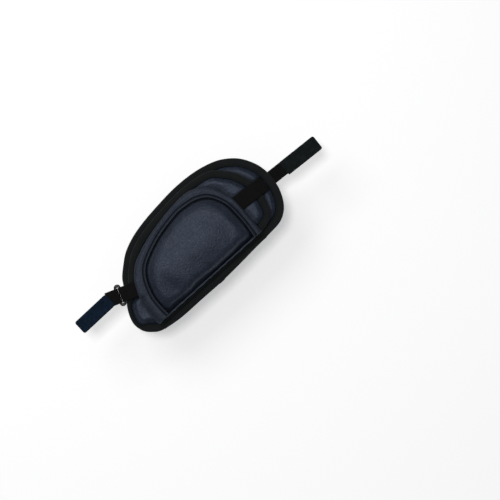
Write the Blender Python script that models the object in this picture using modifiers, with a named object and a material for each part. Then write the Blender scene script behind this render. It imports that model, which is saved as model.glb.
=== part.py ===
"""Padded strap-on arm pad: a bound base pad, a bound middle pad and a bulging
flap, with a webbing strap at each end.

Frame: the pad lies flat on z = 0 with its lining down. The origin is the middle
of the resting face, +X runs along the pad towards the end with the slotted
strap, +Y towards the curved long side and +Z out of the padded face.
Design dimensions are in millimetres and become metres through MM.
"Upper" names belong to the +X strap, "lower" names to the -X strap.
"""

import math

import bmesh
import bpy
from mathutils import Vector

MM = 0.001

# ------------------------------------------------------------ outlines, (x, y)
# Whole pad, counter-clockwise, smoothed through these points.
PAD_OUTLINE = [
    (100, 4), (96.6, 17), (87.6, 31.9), (73.8, 42.6), (58, 48.6), (40, 51.6),
    (20, 52.2), (0, 50.5), (-20, 47.9), (-37, 44.5), (-49, 40.7), (-61, 34.8),
    (-71.5, 26.3), (-79, 19), (-82.7, 13.4), (-86.7, 6), (-91.4, -1.5),
    (-96.2, -9.2), (-99.8, -17.5), (-101.2, -26), (-98.6, -35.6),
    (-92.8, -42.2), (-83, -47.9), (-61, -50.7), (-30, -50.4), (-6, -50.2),
    (18, -48.7), (40, -46.9), (60, -45.4), (76, -43.5), (86, -38.2),
    (93, -30), (98, -18.5), (100, -7),
]
# Middle pad, the same way round; its -X, -Y corner runs under the flap.
MIDDLE_OUTLINE = [
    (82.7, 1.7), (80.6, 9.5), (77.1, 18.3), (73.1, 25.5), (66.5, 33.4),
    (57.8, 41.2), (46.3, 44.6), (34.2, 46.1), (20, 46.4), (0, 44.8),
    (-19, 42.2), (-35.4, 38.7), (-47, 35), (-58, 29.6), (-67.6, 21.6),
    (-75, 14), (-79.6, 7.5), (-82.4, 1.5), (-80, -3.2), (-73, -5),
    (-65, -12), (-60, -24), (-56, -36), (-50, -40), (-20, -39.9),
    (10, -39.2), (40, -38.8), (56.7, -38.5), (68.9, -35), (75.7, -30.1),
    (78.7, -23.4), (80.9, -15.3), (82.5, -6.9),
]
# Free edge of the flap, from its +X end round the +Y side to its -X end.
FLAP_EDGE = [
    (56.5, -38.9), (57, -26), (57, -12), (56.4, 2.3), (54.3, 13.5), (49, 26),
    (42, 33.5), (32, 38.5), (20, 40.4), (-4, 37.8), (-34, 31), (-58, 21),
    (-71.5, 7.5), (-79.5, -11), (-81.8, -26), (-81.5, -41.6),
]
# Ridge between the two stitch rows of the flap, the same way round.
FLAP_RIDGE = [
    (48, -39), (49.4, -24), (49.6, -10), (48.6, 3), (44.5, 14.4),
    (37.8, 23.5), (27, 29), (14, 31), (2, 30.8), (-23.5, 25.3), (-47.7, 15.3),
    (-59.4, 4.8), (-66.5, -12), (-68.2, -26), (-67.5, -41.3),
]

# ----------------------------------------------------------- shared dimensions
CLEAR = 0.3              # gap between neighbouring pieces
LEATHER_T = 1.0
THREAD_R = 0.35
CORD_R = 0.6
THREAD_LIFT = CLEAR + THREAD_R   # centre of a thread above the face it lies on
BINDING_WALL = 1.0       # binding tape outside its slot
STITCH_IN = 1.4          # stitch row, from the inner edge of a binding
CURVE_STEPS = 10         # points per span of a smoothed outline
CORNER_STEPS = 3         # segments per rounded corner
ROW_POINTS = 156         # points of an outline before a stitch row is cut from it


# -------------------------------------------------------------- 2-D geometry
def smooth(points, closed):
    """Points of a Catmull-Rom curve through the control points."""
    count = len(points)
    out = []
    for i in range(count if closed else count - 1):
        before = points[i - 1] if closed or i else points[0]
        start, end = points[i], points[(i + 1) % count]
        after = points[(i + 2) % count] if closed or i + 2 < count else points[-1]
        for k in range(CURVE_STEPS):
            part = k / CURVE_STEPS
            out.append(tuple(
                0.5 * (2 * b + (c - a) * part
                       + (2 * a - 5 * b + 4 * c - d) * part * part
                       + (3 * b - a - 3 * c + d) * part ** 3)
                for a, b, c, d in zip(before, start, end, after)))
    if not closed:
        out.append(points[-1])
    return out


def spaced(points, count, closed=False):
    """The same line with count points at equal distances along it."""
    line = points + [points[0]] if closed else points
    reached = [0.0]
    for start, end in zip(line, line[1:]):
        reached.append(reached[-1] + math.dist(start, end))
    steps = count if closed else count - 1
    out, j = [], 0
    for i in range(count):
        want = reached[-1] * i / steps
        while j < len(reached) - 2 and reached[j + 1] < want:
            j += 1
        part = (want - reached[j]) / (reached[j + 1] - reached[j])
        (x0, y0), (x1, y1) = line[j], line[j + 1]
        out.append((x0 + (x1 - x0) * part, y0 + (y1 - y0) * part))
    return out


def left_normals(points, closed):
    """Unit normals to the left of the line, which is inside a
    counter-clockwise outline."""
    count = len(points)
    out = []
    for i in range(count):
        before = points[i - 1] if closed or i else points[0]
        after = points[(i + 1) % count] if closed or i + 1 < count else points[-1]
        run_x, run_y = after[0] - before[0], after[1] - before[1]
        size = math.hypot(run_x, run_y)
        out.append((-run_y / size, run_x / size))
    return out


def shifted(points, distance, closed=True):
    """The line moved to its left by distance."""
    return [(x + nx * distance, y + ny * distance)
            for (x, y), (nx, ny) in zip(points, left_normals(points, closed))]


def point_along(start, turn, distance):
    return (start[0] + distance * math.cos(turn), start[1] + distance * math.sin(turn))


def arc(centre_x, radius, start_deg, end_deg, steps):
    """Points of an arc centred on the first axis."""
    out = []
    for i in range(steps + 1):
        angle = math.radians(start_deg + (end_deg - start_deg) * i / steps)
        out.append((centre_x + radius * math.cos(angle), radius * math.sin(angle)))
    return out


# Which corners of a box are rounded: (+x +y), (-x +y), (-x -y), (+x -y).
ALL_CORNERS = (1, 1, 1, 1)
FAR_CORNERS = (1, 0, 0, 1)
NEAR_CORNERS = (0, 1, 1, 0)


def rounded_box(x_range, y_range, radius, corners=ALL_CORNERS):
    """Counter-clockwise rectangle with the chosen corners rounded."""
    (x0, x1), (y0, y1) = x_range, y_range
    out = []
    for k, (x, y) in enumerate(((x1, y1), (x0, y1), (x0, y0), (x1, y0))):
        if not corners[k]:
            out.append((x, y))
            continue
        centre_x = x - radius if x == x1 else x + radius
        centre_y = y - radius if y == y1 else y + radius
        for i in range(CORNER_STEPS + 1):
            angle = math.pi / 2 * (k + i / CORNER_STEPS)
            out.append((centre_x + radius * math.cos(angle),
                        centre_y + radius * math.sin(angle)))
    return out


# ------------------------------------------------------- scene and materials
for old in list(bpy.data.objects):
    bpy.data.objects.remove(old, do_unlink=True)

PARTS = bpy.data.collections.new("strap_on_arm_pad")
CUTTERS = bpy.data.collections.new("strap_on_arm_pad_cutters")
for group in (PARTS, CUTTERS):
    bpy.context.scene.collection.children.link(group)


def material(name, color, roughness, metallic=0.0):
    made = bpy.data.materials.new(name)
    made.use_nodes = True
    shader = made.node_tree.nodes["Principled BSDF"]
    shader.inputs["Base Color"].default_value = (*color, 1.0)
    shader.inputs["Roughness"].default_value = roughness
    shader.inputs["Metallic"].default_value = metallic
    made.diffuse_color = (*color, 1.0)
    return made


LEATHER = material("pad_leather", color=(0.045, 0.052, 0.072), roughness=0.5)
EDGE_LEATHER = material("flap_edge_leather", color=(0.04, 0.045, 0.06), roughness=0.48)
BINDING = material("binding_tape", color=(0.013, 0.016, 0.016), roughness=0.85)
WEBBING = material("strap_webbing", color=(0.008, 0.007, 0.008), roughness=0.85)
UPPER_TAPE = material("upper_hook_and_loop", color=(0.011, 0.014, 0.015), roughness=0.95)
LOWER_TAPE = material("lower_hook_and_loop", color=(0.011, 0.016, 0.028), roughness=0.95)
THREAD = material("thread", color=(0.006, 0.006, 0.008), roughness=0.7)
FOAM = material("foam", color=(0.35, 0.35, 0.36), roughness=1.0)
LINING = material("lining", color=(0.012, 0.012, 0.013), roughness=0.95)
BOARD = material("stiffener_board", color=(0.08, 0.08, 0.08), roughness=0.6)
WIRE = material("coated_wire", color=(0.01, 0.01, 0.011), roughness=0.3, metallic=0.9)


# ------------------------------------------------------------ Blender helpers
def finish(obj, look):
    PARTS.objects.link(obj)
    obj.data.materials.append(look)
    return obj


def to_mesh(name, shape):
    mesh = bpy.data.meshes.new(name)
    shape.to_mesh(mesh)
    shape.free()
    return mesh


def mesh_object(name, shape, look):
    """A smooth-shaded piece with its normals outwards."""
    bmesh.ops.recalc_face_normals(shape, faces=shape.faces)
    if shape.calc_volume(signed=True) < 0:
        bmesh.ops.reverse_faces(shape, faces=shape.faces)
    mesh = to_mesh(name, shape)
    obj = finish(bpy.data.objects.new(name, mesh), look)
    mesh.shade_smooth()
    mesh.set_sharp_from_angle(angle=math.radians(40))
    return obj


def layer(name, outline, rings, look):
    """A closed soft layer. rings holds (inset from the last ring, low, high):
    the outline is inset ring by ring, then given its two heights."""
    shape = bmesh.new()
    face = shape.faces.new([shape.verts.new((x * MM, y * MM, 0)) for x, y in outline])
    shape.normal_update()

    def place(vert):
        return (round(vert.co.x, 7), round(vert.co.y, 7))

    heights = {}
    for inset, low, high in rings:
        if inset:
            bmesh.ops.inset_region(shape, faces=[face], thickness=inset * MM,
                                   use_even_offset=True, use_boundary=True)
        for vert in face.verts:
            heights[place(vert)] = (low, high)
    top = list(shape.verts)
    made = bmesh.ops.extrude_face_region(shape, geom=shape.faces[:], use_keep_orig=True)
    bottom = [item for item in made["geom"] if isinstance(item, bmesh.types.BMVert)]
    for verts, which in ((top, 1), (bottom, 0)):
        for vert in verts:
            vert.co.z = heights[place(vert)][which] * MM
    return mesh_object(name, shape, look)


def leather_rings(tops):
    """Layer rings of one leather thickness, from (inset, top) pairs."""
    return [(inset, top - LEATHER_T, top) for inset, top in tops]


def swept(name, line, section, look, closed=False):
    """A section of (shift to the left, z) points carried along a line in plan."""
    shape = bmesh.new()
    rows = []
    for (x, y), (nx, ny) in zip(line, left_normals(line, closed)):
        rows.append([shape.verts.new(((x + nx * shift) * MM, (y + ny * shift) * MM, z * MM))
                     for shift, z in section])
    count = len(section)
    for i in range(len(rows) if closed else len(rows) - 1):
        here, following = rows[i], rows[(i + 1) % len(rows)]
        for k in range(count):
            after = (k + 1) % count
            shape.faces.new((here[k], here[after], following[after], following[k]))
    if not closed:
        shape.faces.new(rows[0])
        shape.faces.new(rows[-1])
    return mesh_object(name, shape, look)


def binding_section(width, z_range, slot_z):
    """A tape folded round an edge: outer wall rounded, with a slot inside."""
    low, high = z_range
    slot_low, slot_high = slot_z
    return [
        (width, low), (1.3, low), (0.3, low + 0.9), (0.0, (low + high) / 2),
        (0.3, high - 0.9), (1.3, high), (width - 0.5, high), (width, high - 0.3),
        (width, slot_high), (BINDING_WALL, slot_high), (BINDING_WALL, slot_low),
        (width, slot_low),
    ]


def add_line(curve, points, closed):
    spline = curve.splines.new("POLY")
    spline.points.add(len(points) - 1)
    for point, (x, y, z) in zip(spline.points, points):
        point.co = (x * MM, y * MM, z * MM, 1)
    spline.use_cyclic_u = closed


def plate(name, outline, low, high, look, holes=()):
    """A flat outline, filled and extruded, from low to high."""
    curve = bpy.data.curves.new(name, "CURVE")
    curve.dimensions = "2D"
    curve.fill_mode = "BOTH"
    curve.extrude = (high - low) / 2 * MM
    for points in (outline, *holes):
        add_line(curve, [(x, y, 0) for x, y in points], closed=True)
    filled = bpy.data.objects.new(name + "_curve", curve)
    bpy.context.scene.collection.objects.link(filled)
    graph = bpy.context.evaluated_depsgraph_get()
    mesh = bpy.data.meshes.new_from_object(filled.evaluated_get(graph))
    bpy.data.objects.remove(filled, do_unlink=True)
    shape = bmesh.new()
    shape.from_mesh(mesh)
    bmesh.ops.remove_doubles(shape, verts=shape.verts, dist=1e-6)
    bmesh.ops.translate(shape, verts=shape.verts, vec=(0, 0, (low + high) / 2 * MM))
    bmesh.ops.dissolve_limit(shape, angle_limit=0.001, verts=shape.verts, edges=shape.edges)
    return mesh_object(name, shape, look)


def on_edge(name, outline, width, look, holes=()):
    """A profile in (along, height), extruded across by width and stood up."""
    obj = plate(name, outline, -width / 2, width / 2, look, holes)
    for vert in obj.data.vertices:
        x, y, z = vert.co
        vert.co = (x, -z, y)
    obj.data.update()
    return obj


def ribbon_sides(centre, thickness):
    """Upper and lower side of a webbing seen on edge, from its centre line."""
    return (shifted(centre, thickness / 2, False), shifted(centre, -thickness / 2, False))


def tube(name, points, radius, look, closed=False, resolution=0):
    """A thread, cord or wire along 3-D points."""
    curve = bpy.data.curves.new(name, "CURVE")
    curve.dimensions = "3D"
    curve.bevel_depth = radius * MM
    curve.bevel_resolution = resolution
    curve.use_fill_caps = not closed
    add_line(curve, points, closed)
    return finish(bpy.data.objects.new(name, curve), look)


def thread(name, line, z):
    return tube(name, [(x, y, z) for x, y in line], THREAD_R, THREAD)


def cord(name, line, z, look):
    return tube(name, [(x, y, z) for x, y in line], CORD_R, look, resolution=1)


def as_cutter(obj):
    CUTTERS.objects.link(obj)
    obj.hide_render = True
    obj.display_type = "WIRE"
    return obj


def box_cutter(name, *ranges):
    """A box from its x, y and z ranges."""
    shape = bmesh.new()
    bmesh.ops.create_cube(shape, size=1.0)
    for vert in shape.verts:
        vert.co = Vector([(low if c < 0 else high) * MM
                          for c, (low, high) in zip(vert.co, ranges)])
    return as_cutter(bpy.data.objects.new(name, to_mesh(name, shape)))


def boolean(obj, other, operation="DIFFERENCE"):
    made = obj.modifiers.new(other.name, "BOOLEAN")
    made.operation = operation
    made.object = other


def put(obj, place, turn):
    """Stands a piece at a point of the pad, turned in plan."""
    obj.location = [c * MM for c in place]
    obj.rotation_euler = (0, 0, turn)
    return obj


def carry(empty, *pieces):
    """Parents pieces to a joint without moving them."""
    for piece in pieces:
        piece.parent = empty
        piece.location -= Vector(empty["at"])


def joint_axis(name, place, parent=None):
    """An empty on a joint's axis."""
    empty = bpy.data.objects.new(name, None)
    empty.empty_display_size = 0.01
    PARTS.objects.link(empty)
    empty["at"] = [c * MM for c in place]
    empty.location = Vector(empty["at"])
    if parent:
        carry(parent, empty)
    return empty


# ------------------------------------------------------------------- base pad
LINING_Z = (0.0, 1.2)
STIFFENER_Z = (1.5, 2.3)
BASE_FOAM_Z = 2.6
RIM_WIDTH = 8.0
RIM_Z = (3.0, 7.2)
RIM_SLOT_Z = (4.2, 6.0)
RIM_JOINT = (-6, -50.2)  # where the rim tape starts and ends
RIM_JOINT_GAP = 0.4
BASE_EDGE_TOP, BASE_CROWN_TOP = 5.6, 8.2

pad_curve = smooth(PAD_OUTLINE, True)
pad = spaced(pad_curve, 56, True)

layer("back_lining", shifted(pad, RIM_WIDTH + 0.4),
      [(0, 0.5, LINING_Z[1]), (1.2, *LINING_Z)], LINING)
stiffener = layer("stiffener_sheet", shifted(pad, RIM_WIDTH + 2.4),
                  [(0, *STIFFENER_Z)], BOARD)
base_foam = layer("base_foam", shifted(pad, RIM_WIDTH + 1.2),
                  [(0, BASE_FOAM_Z, 4.2), (3.0, BASE_FOAM_Z, 5.6),
                   (4.2, BASE_FOAM_Z, BASE_CROWN_TOP - LEATHER_T - CLEAR)], FOAM)
base_leather = layer("base_leather", shifted(pad, BINDING_WALL + 0.6),
                     leather_rings([(0, BASE_EDGE_TOP), (7.0, BASE_EDGE_TOP),
                                    (3.4, 7.1), (4.0, BASE_CROWN_TOP)]), LEATHER)

# The rim tape starts and ends on the -Y side, with a small butt joint.
joint = min(range(len(pad)), key=lambda i: math.dist(pad[i], RIM_JOINT))
rim_line = pad[joint:] + pad[:joint]
rim_line.append((rim_line[0][0] - RIM_JOINT_GAP, rim_line[0][1]))
swept("rim_binding", rim_line, binding_section(RIM_WIDTH, RIM_Z, RIM_SLOT_Z), BINDING)

# Its stitch row leaves out the stretch beside the spine.
row = shifted(spaced(pad_curve, ROW_POINTS, True), RIM_WIDTH - STITCH_IN)
row = [(x, y) for x, y in row if not (y < -30 and -80 < x < 62)]
row_start = max(range(len(row)), key=lambda i: math.dist(row[i], row[i - 1]))
row = row[row_start:] + row[:row_start]
thread("rim_thread", spaced(row, 48), RIM_Z[1] + THREAD_LIFT)

# ----------------------------------------------------------------- middle pad
MID_WIDTH = 7.0
MID_Z = (8.6, 12.3)
MID_SLOT_Z = (9.6, 11.3)
MID_EDGE_TOP, MID_CROWN_TOP = 10.95, 12.4

middle_curve = smooth(MIDDLE_OUTLINE, True)
middle = spaced(middle_curve, 52, True)

layer("middle_foam", shifted(middle, MID_WIDTH + 0.6),
      [(0, MID_Z[0], 9.6), (3.0, MID_Z[0], MID_CROWN_TOP - LEATHER_T - CLEAR)], FOAM)
layer("middle_leather", shifted(middle, BINDING_WALL + 0.5),
      leather_rings([(0, MID_EDGE_TOP), (6.0, MID_EDGE_TOP), (2.6, MID_CROWN_TOP)]),
      LEATHER)
swept("middle_binding", middle, binding_section(MID_WIDTH, MID_Z, MID_SLOT_Z),
      BINDING, closed=True)
# Its stitch row keeps to the +Y side and stops short of the ring's anchor.
row = shifted(spaced(middle_curve, ROW_POINTS, True), MID_WIDTH - STITCH_IN)
row = [(x, y) for x, y in row if y > 6.5 and not (x < -68 and y < 15)]
row.sort(key=lambda point: -point[0])
thread("middle_thread", spaced(row, 44), MID_Z[1] + THREAD_LIFT)

# ---------------------------------------------------------------------- spine
HINGE_Y, HINGE_SLOPE, HINGE_Z = -40.0, 0.02, 14.6
SPINE_TOP = 9.3
# Section of the strip: (shift to the +Y side of the hinge line, z).
SPINE_SECTION = [(-0.9, 7.5), (-4.5, 7.5), (-4.9, 8.4), (-4.5, 9.1),
                 (-1.2, SPINE_TOP), (-0.9, 9.0)]
SPINE_CORD_OUT, SPINE_THREAD_OUT = 1.9, 3.6   # towards -Y from the hinge line


def hinge_y(x):
    return HINGE_Y + HINGE_SLOPE * x


spine = [(x, hinge_y(x)) for x in range(-72, 55, 14)]
swept("spine_strip", spine, SPINE_SECTION, BINDING)
cord("spine_cord", [(x, y - SPINE_CORD_OUT) for x, y in spine],
     SPINE_TOP + CLEAR + CORD_R, BINDING)
thread("spine_thread", [(x, y - SPINE_THREAD_OUT) for x, y in spine],
       SPINE_TOP + THREAD_LIFT)

# ------------------------------------------------------------ closure patches
PATCH_T = 0.8
PATCH_OUTLINE = rounded_box((-40, 38), (-14, 12), 3.0)
HOOK_PATCH_Z = MID_CROWN_TOP + CLEAR
LOOP_PATCH_Z = HOOK_PATCH_Z + PATCH_T + CLEAR

plate("closure_hook_patch", PATCH_OUTLINE, HOOK_PATCH_Z, HOOK_PATCH_Z + PATCH_T,
      UPPER_TAPE)
loop_patch = plate("closure_loop_patch", PATCH_OUTLINE,
                   LOOP_PATCH_Z, LOOP_PATCH_Z + PATCH_T, UPPER_TAPE)

# ----------------------------------------------------------------------- flap
FLAP_EDGE_Z = (14.3, 17.5)
FLAP_LINING_Z = (14.9, 15.7)
FLAP_FOAM_Z = 16.0
PANEL_TOPS = [(0, 17.4), (2.2, 18.9), (5.0, 21.7), (8.0, 23.9)]  # inset, top
FLAP_POINTS = 34
SEAM_HALF = 0.95         # ridge line to the edge piece and to the panel
FLAP_CORD_Z = 17.1
OUTER_THREAD_OUT = 2.2   # from the ridge towards the free edge
INNER_THREAD_IN, INNER_THREAD_Z = 1.9, 19.3

edge = spaced(smooth(FLAP_EDGE, False), FLAP_POINTS)
ridge = spaced(smooth(FLAP_RIDGE, False), FLAP_POINTS)


def to_hinge(points, back=0.5, clear=1.5):
    """The line with its two ends set just short of the hinge axis, and no
    other point nearer to them in y than clear."""
    def short(x):
        return (x, hinge_y(x) + back)

    kept = [(x, y) for x, y in points if y > hinge_y(x) + back + clear]
    return [short(points[0][0]), *kept, short(points[-1][0])]


def from_ridge(inset, **ends):
    """The ridge line moved inwards, its ends at the hinge."""
    return to_hinge(shifted(ridge, inset, False), **ends)


flap_edge = plate("flap_edge_leather", to_hinge(edge) + from_ridge(-SEAM_HALF)[::-1],
                  *FLAP_EDGE_Z, EDGE_LEATHER)
rounding = flap_edge.modifiers.new("rounded_edges", "BEVEL")
rounding.width = 0.9 * MM
rounding.segments = 2
rounding.limit_method = "ANGLE"
rounding.angle_limit = math.radians(50)

flap_lining = layer("flap_lining", from_ridge(-0.5), [(0, *FLAP_LINING_Z)], LINING)
# Long first and last sides leave room for the corners to be inset.
panel_line = from_ridge(SEAM_HALF, clear=17.0)
panel = layer("flap_panel_leather", panel_line, leather_rings(PANEL_TOPS), LEATHER)
flap_foam = layer("flap_foam", panel_line,
                  [(inset, FLAP_FOAM_Z, top - LEATHER_T - CLEAR)
                   for inset, top in PANEL_TOPS], FOAM)
seam_cord = cord("flap_seam_cord", to_hinge(ridge, back=1.0), FLAP_CORD_Z, EDGE_LEATHER)
outer_row = thread("flap_outer_thread", from_ridge(-OUTER_THREAD_OUT, back=1.0),
                   FLAP_EDGE_Z[1] + THREAD_LIFT)
inner_row = thread("flap_inner_thread", from_ridge(INNER_THREAD_IN, back=2.0),
                   INNER_THREAD_Z)

hinge = joint_axis("flap_hinge_axis", (0, HINGE_Y, HINGE_Z))
carry(hinge, flap_edge, flap_lining, panel, flap_foam, seam_cord, outer_row,
      inner_row, loop_patch)

# ------------------------------------------------------- both straps' end tabs
TAPE_T = 0.9
TAB_CORNER = 2.0
CORE_SHORT, LOOP_SHORT = 1.2, 1.5   # webbing and loop tape, short of the hook tape's end
PEEL_GAP = 0.2           # peel axis beyond the tab's end

# ---------------------------------------------------------------- upper strap
# It leaves the rim at UPPER_AT along UPPER_TURN; S values run from there.
UPPER_AT, UPPER_TURN = (100.0, -4.0), math.radians(-2.5)
STRAP_W = 14.2
STRAP_Z = (1.5, 2.7)
STRAP_TAIL_S = -30.0
SLOT_S = (-12.3, -9.7)
SLOT_W = 15.4
CHANNEL_S = (STRAP_TAIL_S - 6.0, -4.0)
BEND_S, BEND_GAP = 8.0, 0.7   # bend axis, and webbing short of it on either side
TAB_S = (15.4, 58.2)
TAB_W = 16.0
TAB_SHIFT = -0.9
TAB_ROOT_S = TAB_S[0] + 1.5
# Centre line (s, z) over the middle pad, down past its edge and into the slot.
INNER_RUN = [(-56.0, 13.3), (-30.0, 13.3), (-19.0, 13.3), (-17.4, 13.0),
             (-15.9, 12.1), (-14.5, 10.9), (-13.1, 9.9), (-12.0, 9.1),
             (-11.3, 8.2), (-11.0, 7.0), (-11.0, 3.6)]
INNER_T = 1.1


def on_upper(obj):
    return put(obj, (*UPPER_AT, 0.0), UPPER_TURN)


def strap_cutter(name, s_range, z_range):
    return on_upper(box_cutter(name, s_range, (-SLOT_W / 2, SLOT_W / 2), z_range))


up, down = ribbon_sides(INNER_RUN, INNER_T)
on_upper(on_edge("upper_strap_inner", up + down[::-1], STRAP_W, WEBBING))

slot = strap_cutter("strap_slot", SLOT_S, (1.35, 12.0))
channel = strap_cutter("strap_channel", CHANNEL_S, (1.35, 3.2))
open_slot = strap_cutter("strap_slot_open", (SLOT_S[0], CHANNEL_S[1]), (1.3, 11.9))
boolean(base_leather, slot)
boolean(base_foam, open_slot)
boolean(base_foam, channel)
boolean(stiffener, channel)

strap_y = (-STRAP_W / 2, STRAP_W / 2)
upper_webbing = on_upper(plate(
    "upper_strap_webbing",
    rounded_box((STRAP_TAIL_S, BEND_S - BEND_GAP), strap_y, 1.0, NEAR_CORNERS),
    *STRAP_Z, WEBBING))

# A neck of the strap's width, then the wider tab from its -s, -y corner round.
tab_y = (TAB_SHIFT - TAB_W / 2, TAB_SHIFT + TAB_W / 2)
tab = rounded_box((TAB_ROOT_S, TAB_S[1] - CORE_SHORT), tab_y, TAB_CORNER, FAR_CORNERS)
corner = CORNER_STEPS + 2
neck_s = BEND_S + BEND_GAP
upper_tab = on_upper(plate(
    "upper_tab_webbing",
    [(neck_s, strap_y[0]), (TAB_ROOT_S, strap_y[0]), *tab[corner:], *tab[:corner],
     (TAB_ROOT_S, strap_y[1]), (neck_s, strap_y[1])],
    *STRAP_Z, WEBBING))
upper_loop_z = STRAP_Z[1] + CLEAR
upper_loop = on_upper(plate(
    "upper_tab_loop_tape",
    rounded_box((TAB_S[0] + 2.0, TAB_S[1] - LOOP_SHORT), tab_y, TAB_CORNER, FAR_CORNERS),
    upper_loop_z, upper_loop_z + TAPE_T, UPPER_TAPE))
upper_hook_z = upper_loop_z + TAPE_T + CLEAR
upper_hook = on_upper(plate(
    "upper_tab_hook_tape", rounded_box(TAB_S, tab_y, TAB_CORNER, FAR_CORNERS),
    upper_hook_z, upper_hook_z + TAPE_T, UPPER_TAPE))

strap_mid = sum(STRAP_Z) / 2
bend_at = point_along(UPPER_AT, UPPER_TURN, BEND_S)
upper_end = point_along(UPPER_AT, UPPER_TURN, TAB_S[1] + PEEL_GAP)
slide = joint_axis("upper_strap_slide_axis", (*UPPER_AT, strap_mid))
bender = joint_axis("upper_strap_bend_axis", (*bend_at, strap_mid), slide)
upper_peel = joint_axis("upper_tab_peel_axis",
                        (*upper_end, upper_hook_z - CLEAR / 2), bender)
carry(slide, upper_webbing)
carry(bender, upper_tab, upper_loop)
carry(upper_peel, upper_hook)

# ------------------------------------------------------- lower ring and strap
# Ring centre, and the direction the strap leaves in.
RING_AT, RING_Z, RING_TURN = (-92.2, 6.3), 9.0, math.radians(180 - 19)
WIRE_R = 1.1
BAR_HALF = 2.4           # half the distance between the ring's two bars
RING_HALF = 7.9          # half the straight length of a bar
LOOP_GAP, LOOP_T = 0.25, 0.8
BAND_W = 14.4
HOLE_R = WIRE_R + LOOP_GAP
LOOP_R = HOLE_R + LOOP_T
# Flat part of the anchor's centre line: (distance from the inner bar, z).
ANCHOR_RUN = [(-20.5, 13.05), (-7.6, 13.05), (-6.2, 12.9)]
LOWER_WEB_HALF = 0.9     # half the thickness of the doubled strap
LOWER_WEB_L = 10.5
LOWER_TAB_AT, LOWER_TAB_TURN = (-102.4, 9.4), math.radians(182.0)
LOWER_TAB_L, LOWER_TAB_W = 41.6, 15.0
LOWER_CORE_HALF = 0.8


def on_ring(obj):
    return put(obj, (*RING_AT, RING_Z), RING_TURN)


def looped_webbing(name, outline, bar):
    """Webbing with a hole for the ring's bar."""
    hole = arc(bar, HOLE_R, 0, 330, 11)
    return on_ring(on_edge(name, outline, BAND_W, WEBBING, holes=(hole,)))


def lower_tab_plate(name, start, end, low, high, look, corners=FAR_CORNERS):
    half = LOWER_TAB_W / 2
    obj = plate(name, rounded_box((start, end), (-half, half), TAB_CORNER, corners),
                low, high, look)
    return put(obj, (*LOWER_TAB_AT, RING_Z), LOWER_TAB_TURN)


ring_path = [(x, y + side, 0)
             for side, first in ((RING_HALF, 0), (-RING_HALF, 180))
             for x, y in arc(0, BAR_HALF, first, first + 180, 6)]
ring = on_ring(tube("lower_ring", ring_path, WIRE_R, WIRE, closed=True, resolution=2))

# Anchor: lies on the middle pad, drops over the rim and loops the inner bar.
bar = -BAR_HALF
over_bar = HOLE_R + LOOP_T / 2
centre = [(bar + s, z - RING_Z) for s, z in ANCHOR_RUN]
centre += [(bar - 3.2, over_bar + 0.25), (bar - 1.2, over_bar)]
up, down = ribbon_sides(centre, LOOP_T)
join = math.degrees(math.asin(HOLE_R / LOOP_R))
looped_webbing("ring_anchor_webbing",
               up[:-1] + arc(bar, LOOP_R, 85, -180 - join, 14) + down[:-1][::-1], bar)

# Strap: loops the outer bar and runs out to the tab, whose core is joined on.
bar = BAR_HALF
open_deg = math.degrees(math.asin(LOWER_WEB_HALF / LOOP_R))
lower_web = looped_webbing(
    "lower_strap_webbing",
    arc(bar, LOOP_R, open_deg, 360 - open_deg, 16)
    + [(bar + LOWER_WEB_L, -LOWER_WEB_HALF), (bar + LOWER_WEB_L, LOWER_WEB_HALF)], bar)
tab_core = lower_tab_plate("lower_tab_core", 0.6, LOWER_TAB_L - CORE_SHORT,
                           -LOWER_CORE_HALF, LOWER_CORE_HALF, WEBBING)
PARTS.objects.unlink(tab_core)
as_cutter(tab_core)
boolean(lower_web, tab_core, "UNION")

lower_loop_z = LOWER_WEB_HALF + CLEAR
lower_hook_z = lower_loop_z + TAPE_T + CLEAR
lower_loop = lower_tab_plate("lower_tab_loop_tape", 2.4, LOWER_TAB_L - LOOP_SHORT,
                             lower_loop_z, lower_loop_z + TAPE_T, LOWER_TAPE)
lower_hook = lower_tab_plate("lower_tab_hook_tape", 0.0, LOWER_TAB_L, lower_hook_z,
                             lower_hook_z + TAPE_T, LOWER_TAPE, ALL_CORNERS)

inner_bar = point_along(RING_AT, RING_TURN, -BAR_HALF)
outer_bar = point_along(RING_AT, RING_TURN, BAR_HALF)
lower_end = point_along(LOWER_TAB_AT, LOWER_TAB_TURN, LOWER_TAB_L + PEEL_GAP)
swing = joint_axis("lower_ring_axis", (*inner_bar, RING_Z))
strap_swing = joint_axis("lower_strap_axis", (*outer_bar, RING_Z), swing)
lower_peel = joint_axis("lower_tab_peel_axis",
                        (*lower_end, RING_Z + lower_hook_z - CLEAR / 2), strap_swing)
carry(swing, ring)
carry(strap_swing, lower_web, lower_loop)
carry(lower_peel, lower_hook)
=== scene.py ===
"""A sewn leather pad in three tiers, with a webbing strap and a tape tab at each end.

The pad lies flat with its lining down: X runs along it, Y across it and Z up.
The top tier is a flap that turns on a hinge along the side at Y = -40. The upper
strap leaves the +X end. The lower strap leaves the -X end through a wire ring.
Dimensions are in millimetres unless a comment says metres.
"""
import math
from math import tau

import bmesh
import bpy
import numpy as np
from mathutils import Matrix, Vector, noise
from mathutils.geometry import delaunay_2d_cdt


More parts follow.
